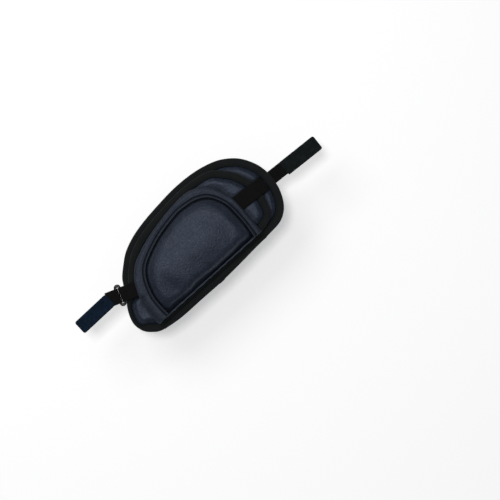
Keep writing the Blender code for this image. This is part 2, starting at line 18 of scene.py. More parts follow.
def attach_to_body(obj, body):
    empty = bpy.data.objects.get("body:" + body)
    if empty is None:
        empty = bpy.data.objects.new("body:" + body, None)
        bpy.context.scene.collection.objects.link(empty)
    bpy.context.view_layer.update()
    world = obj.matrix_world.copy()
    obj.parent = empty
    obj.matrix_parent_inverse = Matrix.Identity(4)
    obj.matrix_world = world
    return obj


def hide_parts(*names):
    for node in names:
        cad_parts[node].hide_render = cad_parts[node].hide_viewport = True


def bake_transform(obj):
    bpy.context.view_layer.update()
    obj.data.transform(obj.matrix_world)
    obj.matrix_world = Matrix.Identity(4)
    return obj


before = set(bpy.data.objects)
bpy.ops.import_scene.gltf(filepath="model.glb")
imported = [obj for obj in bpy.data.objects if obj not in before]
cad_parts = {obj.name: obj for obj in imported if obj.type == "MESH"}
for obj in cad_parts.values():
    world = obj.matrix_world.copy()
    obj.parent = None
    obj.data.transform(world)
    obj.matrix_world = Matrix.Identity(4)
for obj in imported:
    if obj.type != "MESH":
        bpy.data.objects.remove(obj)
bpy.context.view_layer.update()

MM = 0.001

# ----------------------------------------------------------------- dimensions
# Outlines are rows of (x, y). Closed ones run anticlockwise seen from +Z, and the
# flap's two lines run from the +X end of the hinge round to its -X end.
PAD_OUTLINE = [
    (100, 4), (96.6, 17), (87.6, 31.9), (73.8, 42.6), (58, 48.6), (40, 51.6),
    (20, 52.2), (0, 50.5), (-20, 47.9), (-37, 44.5), (-49, 40.7), (-61, 34.8),
    (-71.5, 26.3), (-79, 19), (-82.7, 13.4), (-86.7, 6), (-91.4, -1.5),
    (-96.2, -9.2), (-99.8, -17.5), (-101.2, -26), (-98.6, -35.6),
    (-92.8, -42.2), (-83, -47.9), (-61, -50.7), (-30, -50.4), (-6, -50.2),
    (18, -48.7), (40, -46.9), (60, -45.4), (76, -43.5), (86, -38.2),
    (93, -30), (98, -18.5), (100, -7),
]
MIDDLE_OUTLINE = [
    (82.7, 1.7), (80.6, 9.5), (77.1, 18.3), (73.1, 25.5), (66.5, 33.4),
    (57.8, 41.2), (46.3, 44.6), (34.2, 46.1), (20, 46.4), (0, 44.8),
    (-19, 42.2), (-35.4, 38.7), (-47, 35), (-58, 29.6), (-67.6, 21.6),
    (-75, 14), (-79.6, 7.5), (-82.4, 1.5), (-80, -3.2), (-73, -5),
    (-65, -12), (-60, -24), (-56, -36), (-50, -40), (-20, -39.9),
    (10, -39.2), (40, -38.8), (56.7, -38.5), (68.9, -35), (75.7, -30.1),
    (78.7, -23.4), (80.9, -15.3), (82.5, -6.9),
]
FLAP_EDGE = [
    (56.5, -38.9), (57, -26), (57, -12), (56.4, 2.3), (54.3, 13.5), (49, 26),
    (42, 33.5), (32, 38.5), (20, 40.4), (-4, 37.8), (-34, 31), (-58, 21),
    (-71.5, 7.5), (-79.5, -11), (-81.8, -26), (-81.5, -41.6),
]
FLAP_RIDGE = [
    (48, -39), (49.4, -24), (49.6, -10), (48.6, 3), (44.5, 14.4),
    (37.8, 23.5), (27, 29), (14, 31), (2, 30.8), (-23.5, 25.3), (-47.7, 15.3),
    (-59.4, 4.8), (-66.5, -12), (-68.2, -26), (-67.5, -41.3),
]
RIM_WIDTH, RIM_Z = 8.0, (3.0, 7.2)
RIM_SEAM = 6.4
MID_WIDTH, MID_Z = 7.0, (8.6, 12.3)
MID_SEAM = 5.5
FLAP_Z = 14.3
HINGE_Y, HINGE_SLOPE = -40.0, 0.02
PATCH_BOX = (-40, 38, -14, 12)  # x, x, y, y of both closure patches
STRAP_W, STRAP_Z = 14.2, 2.1
SLOT_S, SLOT_W = (-11.9, -8.9), 15.4
TAB_S, TAB_W, TAB_SHIFT = (15.4, 58.2), 16.0, -0.9
RING_Z, WIRE_R, BAR_HALF, RING_HALF = 9.0, 1.1, 2.4, 7.9
BAND_W = 14.4
LOOP_MID = 1.865  # radius of the middle of the webbing bent round a ring bar
LOWER_TAB_L, LOWER_TAB_W = 41.6, 15.0


# -------------------------------------------------------------- plan geometry
class Axis:
    """A line in plan with its own coordinates, along and across it."""

    def __init__(self, origin, degrees):
        self.origin, self.degrees = origin, degrees
        self.cos = math.cos(math.radians(degrees))
        self.sin = math.sin(math.radians(degrees))

    def point(self, along, across=0.0):
        return (self.origin[0] + along * self.cos - across * self.sin,
                self.origin[1] + along * self.sin + across * self.cos)

    def points(self, outline):
        return [self.point(*spot) for spot in outline]

    def local(self, x, y):
        dx, dy = x - self.origin[0], y - self.origin[1]
        return dx * self.cos + dy * self.sin, -dx * self.sin + dy * self.cos


PLAN = Axis((0, 0), 0)
UPPER = Axis((100.0, -4.0), -2.5)
RING = Axis((-92.2, 6.3), 180 - 19)
LOWER_TAB = Axis((-102.4, 9.4), 182.0)


def path_of(points, closed):
    """The points as a list that ends where it began if the line is closed."""
    return list(points) + [points[0]] if closed else list(points)


def neighbour(points, i, closed):
    """Point i, wrapped round a closed line or held at the ends of an open one."""
    return points[i % len(points) if closed else min(max(i, 0), len(points) - 1)]


def smooth(points, closed, per=10):
    """A Catmull-Rom curve, with per points for each span."""
    out = []
    for i in range(len(points) if closed else len(points) - 1):
        four = [neighbour(points, i + k, closed) for k in (-1, 0, 1, 2)]
        for k in range(per):
            part = k / per
            out.append(tuple(
                0.5 * (2 * here + (after - before) * part
                       + (2 * before - 5 * here + 4 * after - beyond) * part * part
                       + (3 * here - before - 3 * after + beyond) * part ** 3)
                for before, here, after, beyond in zip(*four)))
    if not closed:
        out.append(points[-1])
    return out


def length_of(points, closed=False):
    line = path_of(points, closed)
    return sum(math.dist(start, end) for start, end in zip(line, line[1:]))


def spaced(points, count, closed):
    """The same line with count points at equal distances, in 2-D or 3-D."""
    line = path_of(points, closed)
    reach = [0.0]
    for start, end in zip(line, line[1:]):
        reach.append(reach[-1] + math.dist(start, end))
    steps = count if closed else count - 1
    out, j = [], 0
    for i in range(count):
        want = reach[-1] * i / steps
        while j < len(reach) - 2 and reach[j + 1] < want:
            j += 1
        part = (want - reach[j]) / max(reach[j + 1] - reach[j], 1e-9)
        out.append(tuple(start + (end - start) * part
                         for start, end in zip(line[j], line[j + 1])))
    return out


def left_normals(points, closed):
    out = []
    for i in range(len(points)):
        before = neighbour(points, i - 1, closed)
        after = neighbour(points, i + 1, closed)
        dx, dy = after[0] - before[0], after[1] - before[1]
        size = math.hypot(dx, dy) or 1e-9
        out.append((-dy / size, dx / size))
    return out


def step_in(point, normal, distance):
    return point[0] + normal[0] * distance, point[1] + normal[1] * distance


def shifted(points, distance, closed=True):
    """The line moved to its left, which is inward on every outline here."""
    return [step_in(point, normal, distance)
            for point, normal in zip(points, left_normals(points, closed))]


def inset_rows(outline, insets, count):
    return [spaced(shifted(outline, inset), count, True) for inset in insets]


def hinge_y(x):
    return HINGE_Y + HINGE_SLOPE * x


def circle(centre_x, centre_y, radius, start, end, steps):
    """Points on an arc between two angles in degrees."""
    angles = [math.radians(start + (end - start) * i / steps) for i in range(steps + 1)]
    return [(centre_x + radius * math.cos(angle), centre_y + radius * math.sin(angle))
            for angle in angles]


def rounded_box(x0, x1, y0, y1, radius, steps=6, corners=(1, 1, 1, 1)):
    """A box outline. Corners marked 0 are nearly sharp; the first is at x1, y1."""
    out = []
    for k, (x, y) in enumerate(((x1, y1), (x0, y1), (x0, y0), (x1, y0))):
        bend = radius if corners[k] else 0.35
        centre_x = x - bend if x == x1 else x + bend
        centre_y = y - bend if y == y1 else y + bend
        for i in range(steps + 1):
            angle = math.pi / 2 * (k + i / steps)
            out.append((centre_x + bend * math.cos(angle), centre_y + bend * math.sin(angle)))
    return out


def distance_to(points, line, closed=True):
    """Distance of each plan point to a line, and how far along it is nearest."""
    points = np.asarray(points, float)
    line = np.asarray(path_of(line, closed), float)
    start, run = line[:-1], line[1:] - line[:-1]
    square = np.maximum((run ** 2).sum(1), 1e-12)
    reach = np.concatenate([[0], np.cumsum(np.sqrt(square))])
    best, where = np.empty(len(points)), np.empty(len(points))
    batch = 4000
    for first in range(0, len(points), batch):
        some = points[first:first + batch, None, :]
        part = np.clip(((some - start) * run).sum(2) / square, 0, 1)
        gap = np.linalg.norm(some - (start + part[..., None] * run), axis=2)
        nearest = gap.argmin(1)
        rows = np.arange(len(nearest))
        best[first:first + batch] = gap[rows, nearest]
        where[first:first + batch] = (reach[nearest]
                                      + part[rows, nearest] * np.sqrt(square[nearest]))
    return best, where


def within(points, outline):
    points = np.asarray(points, float)
    x, y = points[:, 0], points[:, 1]
    inside = np.zeros(len(points), bool)
    for (x0, y0), (x1, y1) in zip(outline, outline[1:] + outline[:1]):
        if y0 == y1:
            continue
        inside ^= ((y0 > y) != (y1 > y)) & (x < (x1 - x0) * (y - y0) / (y1 - y0) + x0)
    return inside


def outside(points, outline, closed=True):
    """Distance to an outline, negative inside it."""
    return distance_to(points, outline, closed)[0] * np.where(within(points, outline), -1, 1)


def ease(low, high, value):
    part = np.clip((np.asarray(value, float) - low) / (high - low), 0, 1)
    return part * part * (3 - 2 * part)


def wander(points, size, seed=0.0):
    """Smooth noise with features of about the given size, from -1 to 1."""
    return np.array([noise.noise(Vector((spot[0] / size, spot[1] / size, seed)))
                     for spot in points])


# ------------------------------------------------------------------ materials
class Look:
    """A node material with short calls for its nodes."""

    def __init__(self, name):
        self.material = bpy.data.materials.new(name)
        self.material.use_nodes = True
        self.tree = self.material.node_tree
        self.shader = self.tree.nodes["Principled BSDF"]

    def put(self, socket, value):
        """Links or sets an input. Colours are given as (r, g, b)."""
        if isinstance(value, bpy.types.NodeSocket):
            self.tree.links.new(value, socket)
        else:
            socket.default_value = (*value, 1.0) if socket.type == "RGBA" else value

    def finish(self, **values):
        """Sets the shader's inputs and gives the material."""
        for key, value in values.items():
            self.put(self.shader.inputs[key.replace("_", " ")], value)
        return self.material

    def node(self, kind, values, **settings):
        made = self.tree.nodes.new("ShaderNode" + kind)
        for key, value in settings.items():
            setattr(made, key, value)
        for key, value in values.items():
            self.put(made.inputs[key], value)
        return made

    def maths(self, operation, first, second=0.0):
        return self.node("Math", {0: first, 1: second, 2: 0.0}, operation=operation).outputs[0]

    def total(self, *terms):
        """The sum of terms, each a value or a (value, weight) pair."""
        result = None
        for term in terms:
            if isinstance(term, tuple):
                term = self.maths("MULTIPLY", *term)
            result = term if result is None else self.maths("ADD", result, term)
        return result

    def flipped(self, value):
        return self.maths("SUBTRACT", 1.0, value)

    def mix(self, factor, first, second, blend="MIX"):
        return self.node("Mix", {0: factor, 6: first, 7: second}, data_type="RGBA",
                         blend_type=blend).outputs[2]

    def tint(self, color, factor):
        return self.mix(1.0, color, factor, blend="MULTIPLY")

    def span(self, value, low, high, to=(0.0, 1.0)):
        """Carries the range low to high over to another range."""
        return self.node("MapRange", {"Value": value, "From Min": low, "From Max": high,
                                      "To Min": to[0], "To Max": to[1]}).outputs[0]

    def ridges(self, phase):
        return self.span(self.maths("SINE", phase), low=-1.0, high=1.0)

    def waves(self, value, period):
        return self.ridges(self.maths("MULTIPLY", value, tau / period))

    def coords(self, kind="Object", stretch=(1, 1, 1)):
        """Coordinates in millimetres: of the object, or along and across a strip."""
        source = self.node("TexCoord", {}).outputs[kind]
        factor = 1000.0 if kind == "Object" else 1.0
        return self.node("VectorMath", {0: source, 1: tuple(factor * part for part in stretch)},
                         operation="MULTIPLY").outputs[0]

    def parts(self, vector):
        outputs = self.node("SeparateXYZ", {0: vector}).outputs
        return outputs[0], outputs[1]

    def noise(self, vector, size, detail=2.0, rough=0.5):
        return self.node("TexNoise", {"Vector": vector, "Scale": 1.0 / size,
                                      "Detail": detail, "Roughness": rough}).outputs[0]

    def cells(self, vector, size, feature="DISTANCE_TO_EDGE"):
        return self.node("TexVoronoi", {"Vector": vector, "Scale": 1.0 / size},
                         feature=feature).outputs["Distance"]

    def shade(self, reach, samples, low, high, dark):
        """Painted shade for a colour: 1 in the open, down to dark where other surfaces are
        within reach.
        """
        near = self.node("AmbientOcclusion", {"Distance": reach * MM}, samples=samples)
        return self.span(near.outputs["AO"], low, high, to=(dark, 1.0))

    def wear(self, color, pale, amount, low=0.53, high=0.62):
        """The colour, paler on convex edges."""
        edges = self.span(self.node("NewGeometry", {}).outputs["Pointiness"], low, high)
        return self.mix(self.maths("MULTIPLY", edges, amount), color, pale)

    def bump(self, height, strength, distance, under=None):
        values = {"Height": height, "Strength": strength, "Distance": distance * MM}
        if under is not None:
            values["Normal"] = under
        return self.node("Bump", values).outputs[0]


def scaled(color, factor):
    return tuple(part * factor for part in color)


def leather(name, deep, light, rough, grain):
    """Pebbled leather with creases round cells of the grain's size."""
    look = Look(name)
    at = look.coords()
    warp = look.node("TexNoise", {"Vector": at, "Scale": 0.35, "Detail": 2.0})
    bent = look.node("VectorMath", {0: at, 1: warp.outputs["Color"]},
                     operation="ADD").outputs[0]
    crease = look.span(look.cells(bent, size=grain), low=0.0, high=0.22)
    pebble = look.span(look.cells(bent, size=grain * 2.3), low=0.0, high=0.2)
    pores = look.noise(at, size=0.22, detail=3.0, rough=0.6)
    coarse = look.noise(at, size=1.5, rough=0.6)
    broad = look.noise(at, size=26.0, detail=3.0, rough=0.55)
    patch = look.noise(at, size=6.0, detail=3.0, rough=0.6)
    height = look.total((crease, 0.62), (pebble, 0.22), (pores, 0.35), (coarse, 1.5))
    pebbled = look.bump(look.noise(at, size=1.9, rough=0.6), strength=0.7, distance=0.55)

    tone = look.total((broad, 0.65), (patch, 0.45))
    color = look.mix(look.span(tone, low=0.3, high=0.8), deep, light)
    in_crease = look.maths("MULTIPLY", look.flipped(crease), 0.25)
    color = look.mix(in_crease, color, scaled(deep, 0.45))
    color = look.wear(color, pale=scaled(light, 1.9), amount=0.45, low=0.52, high=0.60)
    shine = look.total(rough - 0.07, (patch, 0.14))
    shine = look.total(shine, (look.flipped(crease), 0.16))
    mottle = look.span(look.noise(at, size=1.7, rough=0.6), low=0.35, high=0.65,
                       to=(0.58, 1.38))
    color = look.tint(color, mottle)
    # Painted shade: the colour darkens where other surfaces are within 5 mm, in seams, grooves
    # and folds.
    shade = look.shade(reach=5.0, samples=8, low=0.42, high=0.88, dark=0.08)
    color = look.tint(color, shade)
    return look.finish(
        Base_Color=color, Roughness=shine,
        Normal=look.bump(height, strength=0.5, distance=0.12, under=pebbled),
        Sheen_Weight=0.05, Sheen_Roughness=0.45, Sheen_Tint=(0.60, 0.72, 1.0),
        # Painted shade on the reflection: less specular where other surfaces are near.
        Specular_IOR_Level=look.maths("MULTIPLY", shade, 0.42),
        Specular_Tint=(0.66, 0.77, 1.0))


def ribbed_tape(name, deep, light):
    """Binding tape: fine ribs across its length over a flat weave."""
    look = Look(name)
    at = look.coords("UV")
    along, across = look.parts(at)
    drift = look.maths("MULTIPLY", look.noise(at, size=2.5), 0.5)
    rib_pitch = 0.85
    ribs = look.ridges(look.total((along, tau / rib_pitch), drift))
    warp = look.waves(across, period=0.55)
    fuzz = look.noise(at, size=0.3, detail=4.0, rough=0.7)
    height = look.total((ribs, 0.7), (warp, 0.25), (fuzz, 0.35))
    cloudy = look.noise(at, size=9.0, detail=3.0, rough=0.6)
    tone = look.total((ribs, 0.4), (cloudy, 0.7))
    color = look.mix(look.span(tone, low=0.2, high=0.9), deep, light)
    color = look.wear(color, pale=scaled(light, 2.0), amount=0.4)
    # Painted shade: the tape's colour darkens where other surfaces are within 3 mm.
    color = look.tint(color, look.shade(reach=3.0, samples=6, low=0.35, high=0.85, dark=0.15))
    return look.finish(
        Base_Color=color, Roughness=look.span(fuzz, low=0.2, high=0.8, to=(0.62, 0.86)),
        Normal=look.bump(height, strength=0.7, distance=0.16),
        Sheen_Weight=0.06, Sheen_Roughness=0.5, Sheen_Tint=(0.82, 0.95, 0.90),
        Specular_IOR_Level=0.16)


def woven(name, deep, light):
    """Webbing: a herringbone of thick yarns."""
    look = Look(name)
    at = look.coords("UV")
    along, across = look.parts(at)
    column = 1.9  # width of one herringbone column
    lean = look.maths("ADD", along, look.maths("PINGPONG", across, column))
    yarn = look.waves(lean, period=1.15)
    seam = look.span(look.maths("PINGPONG", across, column / 2), low=0.0, high=0.25)
    cross = look.waves(across, period=0.48)
    fuzz = look.noise(at, size=0.25, detail=4.0, rough=0.7)
    height = look.total((yarn, 0.8), (cross, 0.25))
    height = look.total((height, look.span(seam, low=0.0, high=1.0, to=(0.5, 1.0))),
                        (fuzz, 0.4))
    cloudy = look.noise(at, size=5.0, detail=3.0, rough=0.6)
    tone = look.total((yarn, 0.5), (cloudy, 0.6))
    return look.finish(
        Base_Color=look.mix(look.span(tone, low=0.2, high=0.95), deep, light),
        Roughness=look.span(yarn, low=0.0, high=1.0, to=(0.85, 0.6)),
        Normal=look.bump(height, strength=0.8, distance=0.22),
        Sheen_Weight=0.02, Sheen_Roughness=0.5, Specular_IOR_Level=0.10)


def pile(name, deep, light, sheen_tint):
    """Hook-and-loop tape: a fuzzy mottled face."""
    look = Look(name)
    at = look.coords()
    tufts = look.cells(at, size=0.75, feature="F1")
    curls = look.noise(at, size=0.42, detail=5.0, rough=0.75)
    mottle = look.noise(at, size=1.9, detail=4.0, rough=0.7)
    broad = look.noise(at, size=8.0)
    height = look.total((look.flipped(tufts), 0.6), (curls, 0.8))
    tone = look.total((mottle, 0.75), (broad, 0.3))
    color = look.mix(look.span(tone, low=0.38, high=0.68), deep, light)
    color = look.wear(color, pale=scaled(light, 1.8), amount=0.35)
    return look.finish(
        Base_Color=color, Roughness=look.span(curls, low=0.2, high=0.8, to=(0.7, 0.95)),
        Normal=look.bump(height, strength=0.75, distance=0.25),
        Sheen_Weight=0.06, Sheen_Roughness=0.55, Sheen_Tint=sheen_tint,
        Specular_IOR_Level=0.08)


def twisted_thread(name, deep, light):
    look = Look(name)
    along, across = look.parts(look.coords("UV"))
    # The two pitches set the lean of the strands.
    strands = look.ridges(look.total((along, tau / 0.5), (across, tau / 0.9)))
    fuzz = look.noise(look.coords(), size=0.2, detail=3.0, rough=0.6)
    tone = look.total(strands, (fuzz, 0.6))
    return look.finish(
        Base_Color=look.mix(look.span(tone, low=0.3, high=1.4), deep, light),
        Roughness=look.span(fuzz, low=0.2, high=0.8, to=(0.4, 0.7)),
        Normal=look.bump(strands, strength=0.7, distance=0.12),
        Sheen_Weight=0.03, Specular_IOR_Level=0.2)


def brushed_lining(name, deep, light):
    """A diagonal knit under a brushed nap."""
    look = Look(name)
    at = look.coords()
    x, y = look.parts(at)
    knit_pitch = 1.3
    rising, falling = (
        look.maths("SINE", look.maths("MULTIPLY", look.maths(way, x, y), tau / knit_pitch))
        for way in ("ADD", "SUBTRACT"))
    knit = look.span(look.maths("MULTIPLY", rising, falling), low=-1.0, high=1.0)
    fuzz = look.noise(at, size=0.5, detail=5.0, rough=0.75)
    nap = look.noise(look.coords(stretch=(1, 4, 1)), size=9.0, detail=3.0, rough=0.6)
    height = look.total((knit, 0.6), fuzz)
    tone = look.total((nap, 0.7), (knit, 0.3))
    return look.finish(
        Base_Color=look.mix(look.span(tone, low=0.25, high=0.8), deep, light),
        Roughness=look.span(fuzz, low=0.2, high=0.8, to=(0.8, 0.97)),
        Normal=look.bump(height, strength=0.7, distance=0.25),
        Sheen_Weight=0.15, Sheen_Roughness=0.6, Specular_IOR_Level=0.15)


def open_foam(name, deep, light):
    look = Look(name)
    at = look.coords()
    holes = look.cells(at, size=0.9, feature="F1")
    fine = look.noise(at, size=0.3, detail=4.0, rough=0.7)
    broad = look.noise(at, size=15.0)
    tone = look.span(look.maths("MULTIPLY", holes, broad), low=0.1, high=0.5)
    return look.finish(
        Base_Color=look.mix(tone, light, deep),
        Roughness=look.span(look.span(fine, low=0.2, high=0.8), low=0.0, high=1.0,
                            to=(0.85, 1.0)),
        Normal=look.bump(look.total(holes, fine), strength=0.8, distance=0.3))


def sheet_board(name, deep, light):
    look = Look(name)
    at = look.coords()
    speckle = look.noise(at, size=0.6, detail=4.0, rough=0.7)
    scuffs = look.noise(look.coords(stretch=(1, 8, 1)), size=6.0, detail=3.0, rough=0.6)
    return look.finish(
        Base_Color=look.mix(speckle, deep, light),
        Roughness=look.span(scuffs, low=0.3, high=0.7, to=(0.45, 0.7)),
        Normal=look.bump(look.total(speckle, scuffs), strength=0.4, distance=0.1))


def coated(name, deep, light):
    """Gloss black coating over wire, with faint orange peel and rubbed spots."""
    look = Look(name)
    at = look.coords()
    peel = look.noise(at, size=0.8)
    rub = look.noise(at, size=1.6, detail=4.0, rough=0.7)
    rubbed = look.span(rub, low=0.62, high=0.72)
    return look.finish(
        Base_Color=look.mix(rubbed, deep, light),
        Roughness=look.span(rub, low=0.3, high=0.7, to=(0.28, 0.45)),
        Metallic=look.maths("MULTIPLY", rubbed, 0.2),
        Normal=look.bump(peel, strength=0.25, distance=0.05),
        Coat_Weight=0.1, Coat_Roughness=0.25, Specular_IOR_Level=0.25)


LEATHER = leather("pad_leather_grain", deep=(0.0080, 0.0112, 0.0195),
                  light=(0.0180, 0.0245, 0.0410), rough=0.34, grain=0.8)
EDGE_LEATHER = leather("flap_edge_leather_grain", deep=(0.0072, 0.0098, 0.0160),
                       light=(0.0160, 0.0215, 0.0335), rough=0.44, grain=0.85)
BINDING = ribbed_tape("binding_ribs", deep=(0.0032, 0.0043, 0.0046),
                      light=(0.0094, 0.0118, 0.0124))
WEBBING = woven("webbing_weave", deep=(0.0022, 0.0023, 0.0023),
                light=(0.0075, 0.0070, 0.0075))
UPPER_TAPE = pile("upper_tape_pile", deep=(0.0030, 0.0045, 0.0050),
                  light=(0.012, 0.017, 0.0185), sheen_tint=(0.75, 0.9, 0.95))
LOWER_TAPE = pile("lower_tape_pile", deep=(0.0025, 0.0075, 0.017),
                  light=(0.0085, 0.021, 0.043), sheen_tint=(0.55, 0.7, 1.0))
THREAD = twisted_thread("thread_twist", deep=(0.0010, 0.0010, 0.0014),
                        light=(0.0050, 0.0055, 0.0065))
FOAM = open_foam("foam_cells", deep=(0.20, 0.20, 0.19), light=(0.36, 0.36, 0.35))
LINING = brushed_lining("lining_knit", deep=(0.008, 0.008, 0.009),
                        light=(0.020, 0.020, 0.022))
BOARD = sheet_board("stiffener_board_face", deep=(0.06, 0.06, 0.062),
                    light=(0.10, 0.10, 0.10))
WIRE = coated("wire_coating", deep=(0.004, 0.004, 0.005), light=(0.016, 0.016, 0.018))


# -------------------------------------------------------------- mesh builders
def make(name, verts, faces, look, uvs):
    """A closed, smooth-shaded object from millimetre points, turned outward."""
    mesh = bpy.data.meshes.new(name)
    mesh.from_pydata((np.asarray(verts, float) * MM).tolist(), [], faces)
    if uvs is not None:
        mesh.uv_layers.new(name="UVMap").data.foreach_set(
            "uv", np.asarray(uvs, np.float32).ravel())
    bm = bmesh.new()
    bm.from_mesh(mesh)
    bmesh.ops.recalc_face_normals(bm, faces=bm.faces)
    if bm.calc_volume(signed=True) < 0:
        bmesh.ops.reverse_faces(bm, faces=bm.faces)
    bm.to_mesh(mesh)
    bm.free()
    mesh.materials.append(look)
    mesh.shade_smooth()
    made = bpy.data.objects.new(name, mesh)
    bpy.context.scene.collection.objects.link(made)
    return made


def lofted(name, rows, look, around=False):
    """A tube through rings of points, with UVs in millimetres along and across.
    Its ends are capped, or joined if it goes around."""
    rows = np.asarray(rows, float)
    count, size = rows.shape[:2]
    centre = rows.mean(1)
    steps = np.linalg.norm(np.roll(centre, -1, 0) - centre, axis=1)
    along = np.concatenate([[0], np.cumsum(steps)])
    ring = rows[count // 2]
    sides = np.linalg.norm(np.roll(ring, -1, 0) - ring, axis=1)
    across = np.concatenate([[0], np.cumsum(sides)])
    faces, uvs = [], []
    for i in range(count if around else count - 1):
        j = (i + 1) % count
        for k in range(size):
            after = (k + 1) % size
            faces.append((i * size + k, i * size + after, j * size + after, j * size + k))
            uvs += [(along[i], across[k]), (along[i], across[k + 1]),
                    (along[i + 1], across[k + 1]), (along[i + 1], across[k])]
    if not around:
        for i in (0, count - 1):
            faces.append(tuple(range(i * size, i * size + size)))
            uvs += [(along[i], across[k]) for k in range(size)]
    return make(name, rows.reshape(-1, 3), faces, look, uvs)


def fill(outline, step, holes=(), rows=()):
    """Points and triangles that fill an outline, with extra rows of points."""
    loops = [spaced(outline, max(16, round(length_of(outline, True) / step)), True)]
    loops += [spaced(hole, max(10, round(length_of(hole, True) / (0.5 * step))), True)
              for hole in holes]
    low, high = np.min(loops[0], 0), np.max(loops[0], 0)
    grid, odd, y = [], False, low[1]
    while y < high[1]:
        x = low[0] + (step / 2 if odd else 0)
        while x < high[0]:
            grid.append((x, y))
            x += step
        odd, y = not odd, y + step * 0.866
    grid = np.array(grid)

    def in_material(spots):
        inside = within(spots, loops[0])
        for hole in loops[1:]:
            inside &= ~within(spots, hole)
        return inside

    keep = in_material(grid)
    for loop in loops:
        keep &= distance_to(grid, loop)[0] > 0.6 * step
    for row in rows:
        keep &= distance_to(grid, row, False)[0] > 0.55 * step
    points = [spot for line in (*loops, *rows) for spot in line]
    points += [tuple(spot) for spot in grid[keep]]
    edges, start = [], 0
    for loop in loops:
        edges += [(start + i, start + (i + 1) % len(loop)) for i in range(len(loop))]
        start += len(loop)
    made = delaunay_2d_cdt([Vector(spot) for spot in points], edges, [], 0, 1e-5)
    points = np.array([tuple(spot) for spot in made[0]])
    faces = np.array(made[2])
    return points, faces[in_material(points[faces].mean(1))]


def shell_faces(count, faces):
    """A top, a bottom with count more points, and the walls between them."""
    top = [tuple(int(k) for k in face) for face in faces]
    sides = {(start, end): True for face in top
             for start, end in zip(face, face[1:] + face[:1])}
    walls = [(end, start, start + count, end + count)
             for start, end in sides if (end, start) not in sides]
    return top + [tuple(k + count for k in reversed(face)) for face in top] + walls


def place(points, z, axis=PLAN):
    """3-D points from points in an axis's own frame and one or many heights."""
    points = np.asarray(points, float)
    x, y = axis.point(points[:, 0], points[:, 1])
    return np.column_stack([x, y, np.broadcast_to(z, x.shape)])


def body(name, points, faces, top, low, look, axis=PLAN, levels=0):
    """A closed soft layer between two heights over a plan."""
    verts = np.concatenate([place(points, top, axis), place(points, low, axis)])
    every = shell_faces(len(points), faces)
    uvs = [(points[k % len(points)][0], points[k % len(points)][1])
           for face in every for k in face]
    made = make(name, verts, every, look, uvs)
    if levels:
        refine(made, levels)
    return made


def refine(obj, levels):
    """Subdivides the mesh for good."""
    softer = obj.modifiers.new("softer", "SUBSURF")
    softer.levels = softer.render_levels = levels
    graph = bpy.context.evaluated_depsgraph_get()
    mesh = bpy.data.meshes.new_from_object(obj.evaluated_get(graph))
    old = obj.data
    obj.modifiers.clear()
    obj.data = mesh
    bpy.data.meshes.remove(old)
    mesh.shade_smooth()


def coordinates(mesh):
    flat = np.empty(len(mesh.vertices) * 3, np.float32)
    mesh.vertices.foreach_get("co", flat)
    return flat.reshape(-1, 3).astype(float) / MM


# A light, soft cloth blown up from inside.
CLOTH = dict(quality=6, mass=0.3, tension_stiffness=12, compression_stiffness=12,
             shear_stiffness=6, bending_stiffness=0.6, use_pressure=True,
             uniform_pressure_force=4.0, vertex_group_mass="held", shrink_min=-0.02)
CLOTH_FRAMES = 20
SOFTEN_PASSES = 3  # passes that ease out the sharpest wrinkles


def swell(points, faces, top, low, held, cap):
    """Blows the layer up as cloth and gives the new top points. held is 0 where
    the skin is free and 1 where it is sewn down. No point moves more than cap."""
    count = len(points)
    start = np.concatenate([place(points, top), place(points, low)])
    obj = make("swelling", start, shell_faces(count, faces), LEATHER, None)
    group = obj.vertex_groups.new(name="held")
    for i in range(count):
        group.add([i], float(held[i]), "REPLACE")
        group.add([count + i], 1.0, "REPLACE")
    cloth = obj.modifiers.new("cloth", "CLOTH")
    for key, value in CLOTH.items():
        setattr(cloth.settings, key, value)
    cloth.settings.effector_weights.gravity = 0
    cloth.collision_settings.use_collision = False
    cloth.collision_settings.use_self_collision = False
    cloth.point_cache.frame_start, cloth.point_cache.frame_end = 1, CLOTH_FRAMES
    scene = bpy.context.scene
    for number in range(1, CLOTH_FRAMES + 1):
        scene.frame_set(number)
    graph = bpy.context.evaluated_depsgraph_get()
    now = coordinates(obj.evaluated_get(graph).to_mesh())
    obj.evaluated_get(graph).to_mesh_clear()
    bpy.data.objects.remove(obj, do_unlink=True)
    scene.frame_set(1)

    move = (now - start)[:count]
    pairs = np.concatenate([faces[:, [0, 1]], faces[:, [1, 2]], faces[:, [2, 0]]])
    pairs = np.concatenate([pairs, pairs[:, ::-1]])
    share = np.bincount(pairs[:, 0], minlength=count).astype(float)
    for _ in range(SOFTEN_PASSES):
        around = np.stack([np.bincount(pairs[:, 0], move[pairs[:, 1], k], minlength=count)
                           for k in range(3)], 1)
        move = 0.4 * move + 0.6 * (around / np.maximum(share, 1)[:, None])
        move *= (1 - 0.9 * held)[:, None]
    size = np.linalg.norm(move, axis=1)
    move *= (cap * np.tanh(size / cap) / np.maximum(size, 1e-9))[:, None]
    return start[:count] + move


def cover(name, points, faces, top, cloth_low, low, held, cap, levels=1):
    """A swollen leather skin over a plan."""
    swollen = swell(points, faces, top, cloth_low, np.clip(held, 0, 1), cap)
    return body(name, swollen[:, :2], faces, swollen[:, 2], low, LEATHER, levels=levels)


def attach(obj, part, slot, *stand_ins):
    """Makes an object ride a part, in place of CAD nodes. The slot argument is not used."""
    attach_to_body(obj, part)
    if stand_ins:
        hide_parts(*stand_ins)


def metres(*point):
    return tuple(value * MM for value in point)


def sideways(way):
    """The level unit vector across a direction."""
    across = np.cross((0, 0, 1), way)
    return across / max(np.linalg.norm(across), 1e-9)


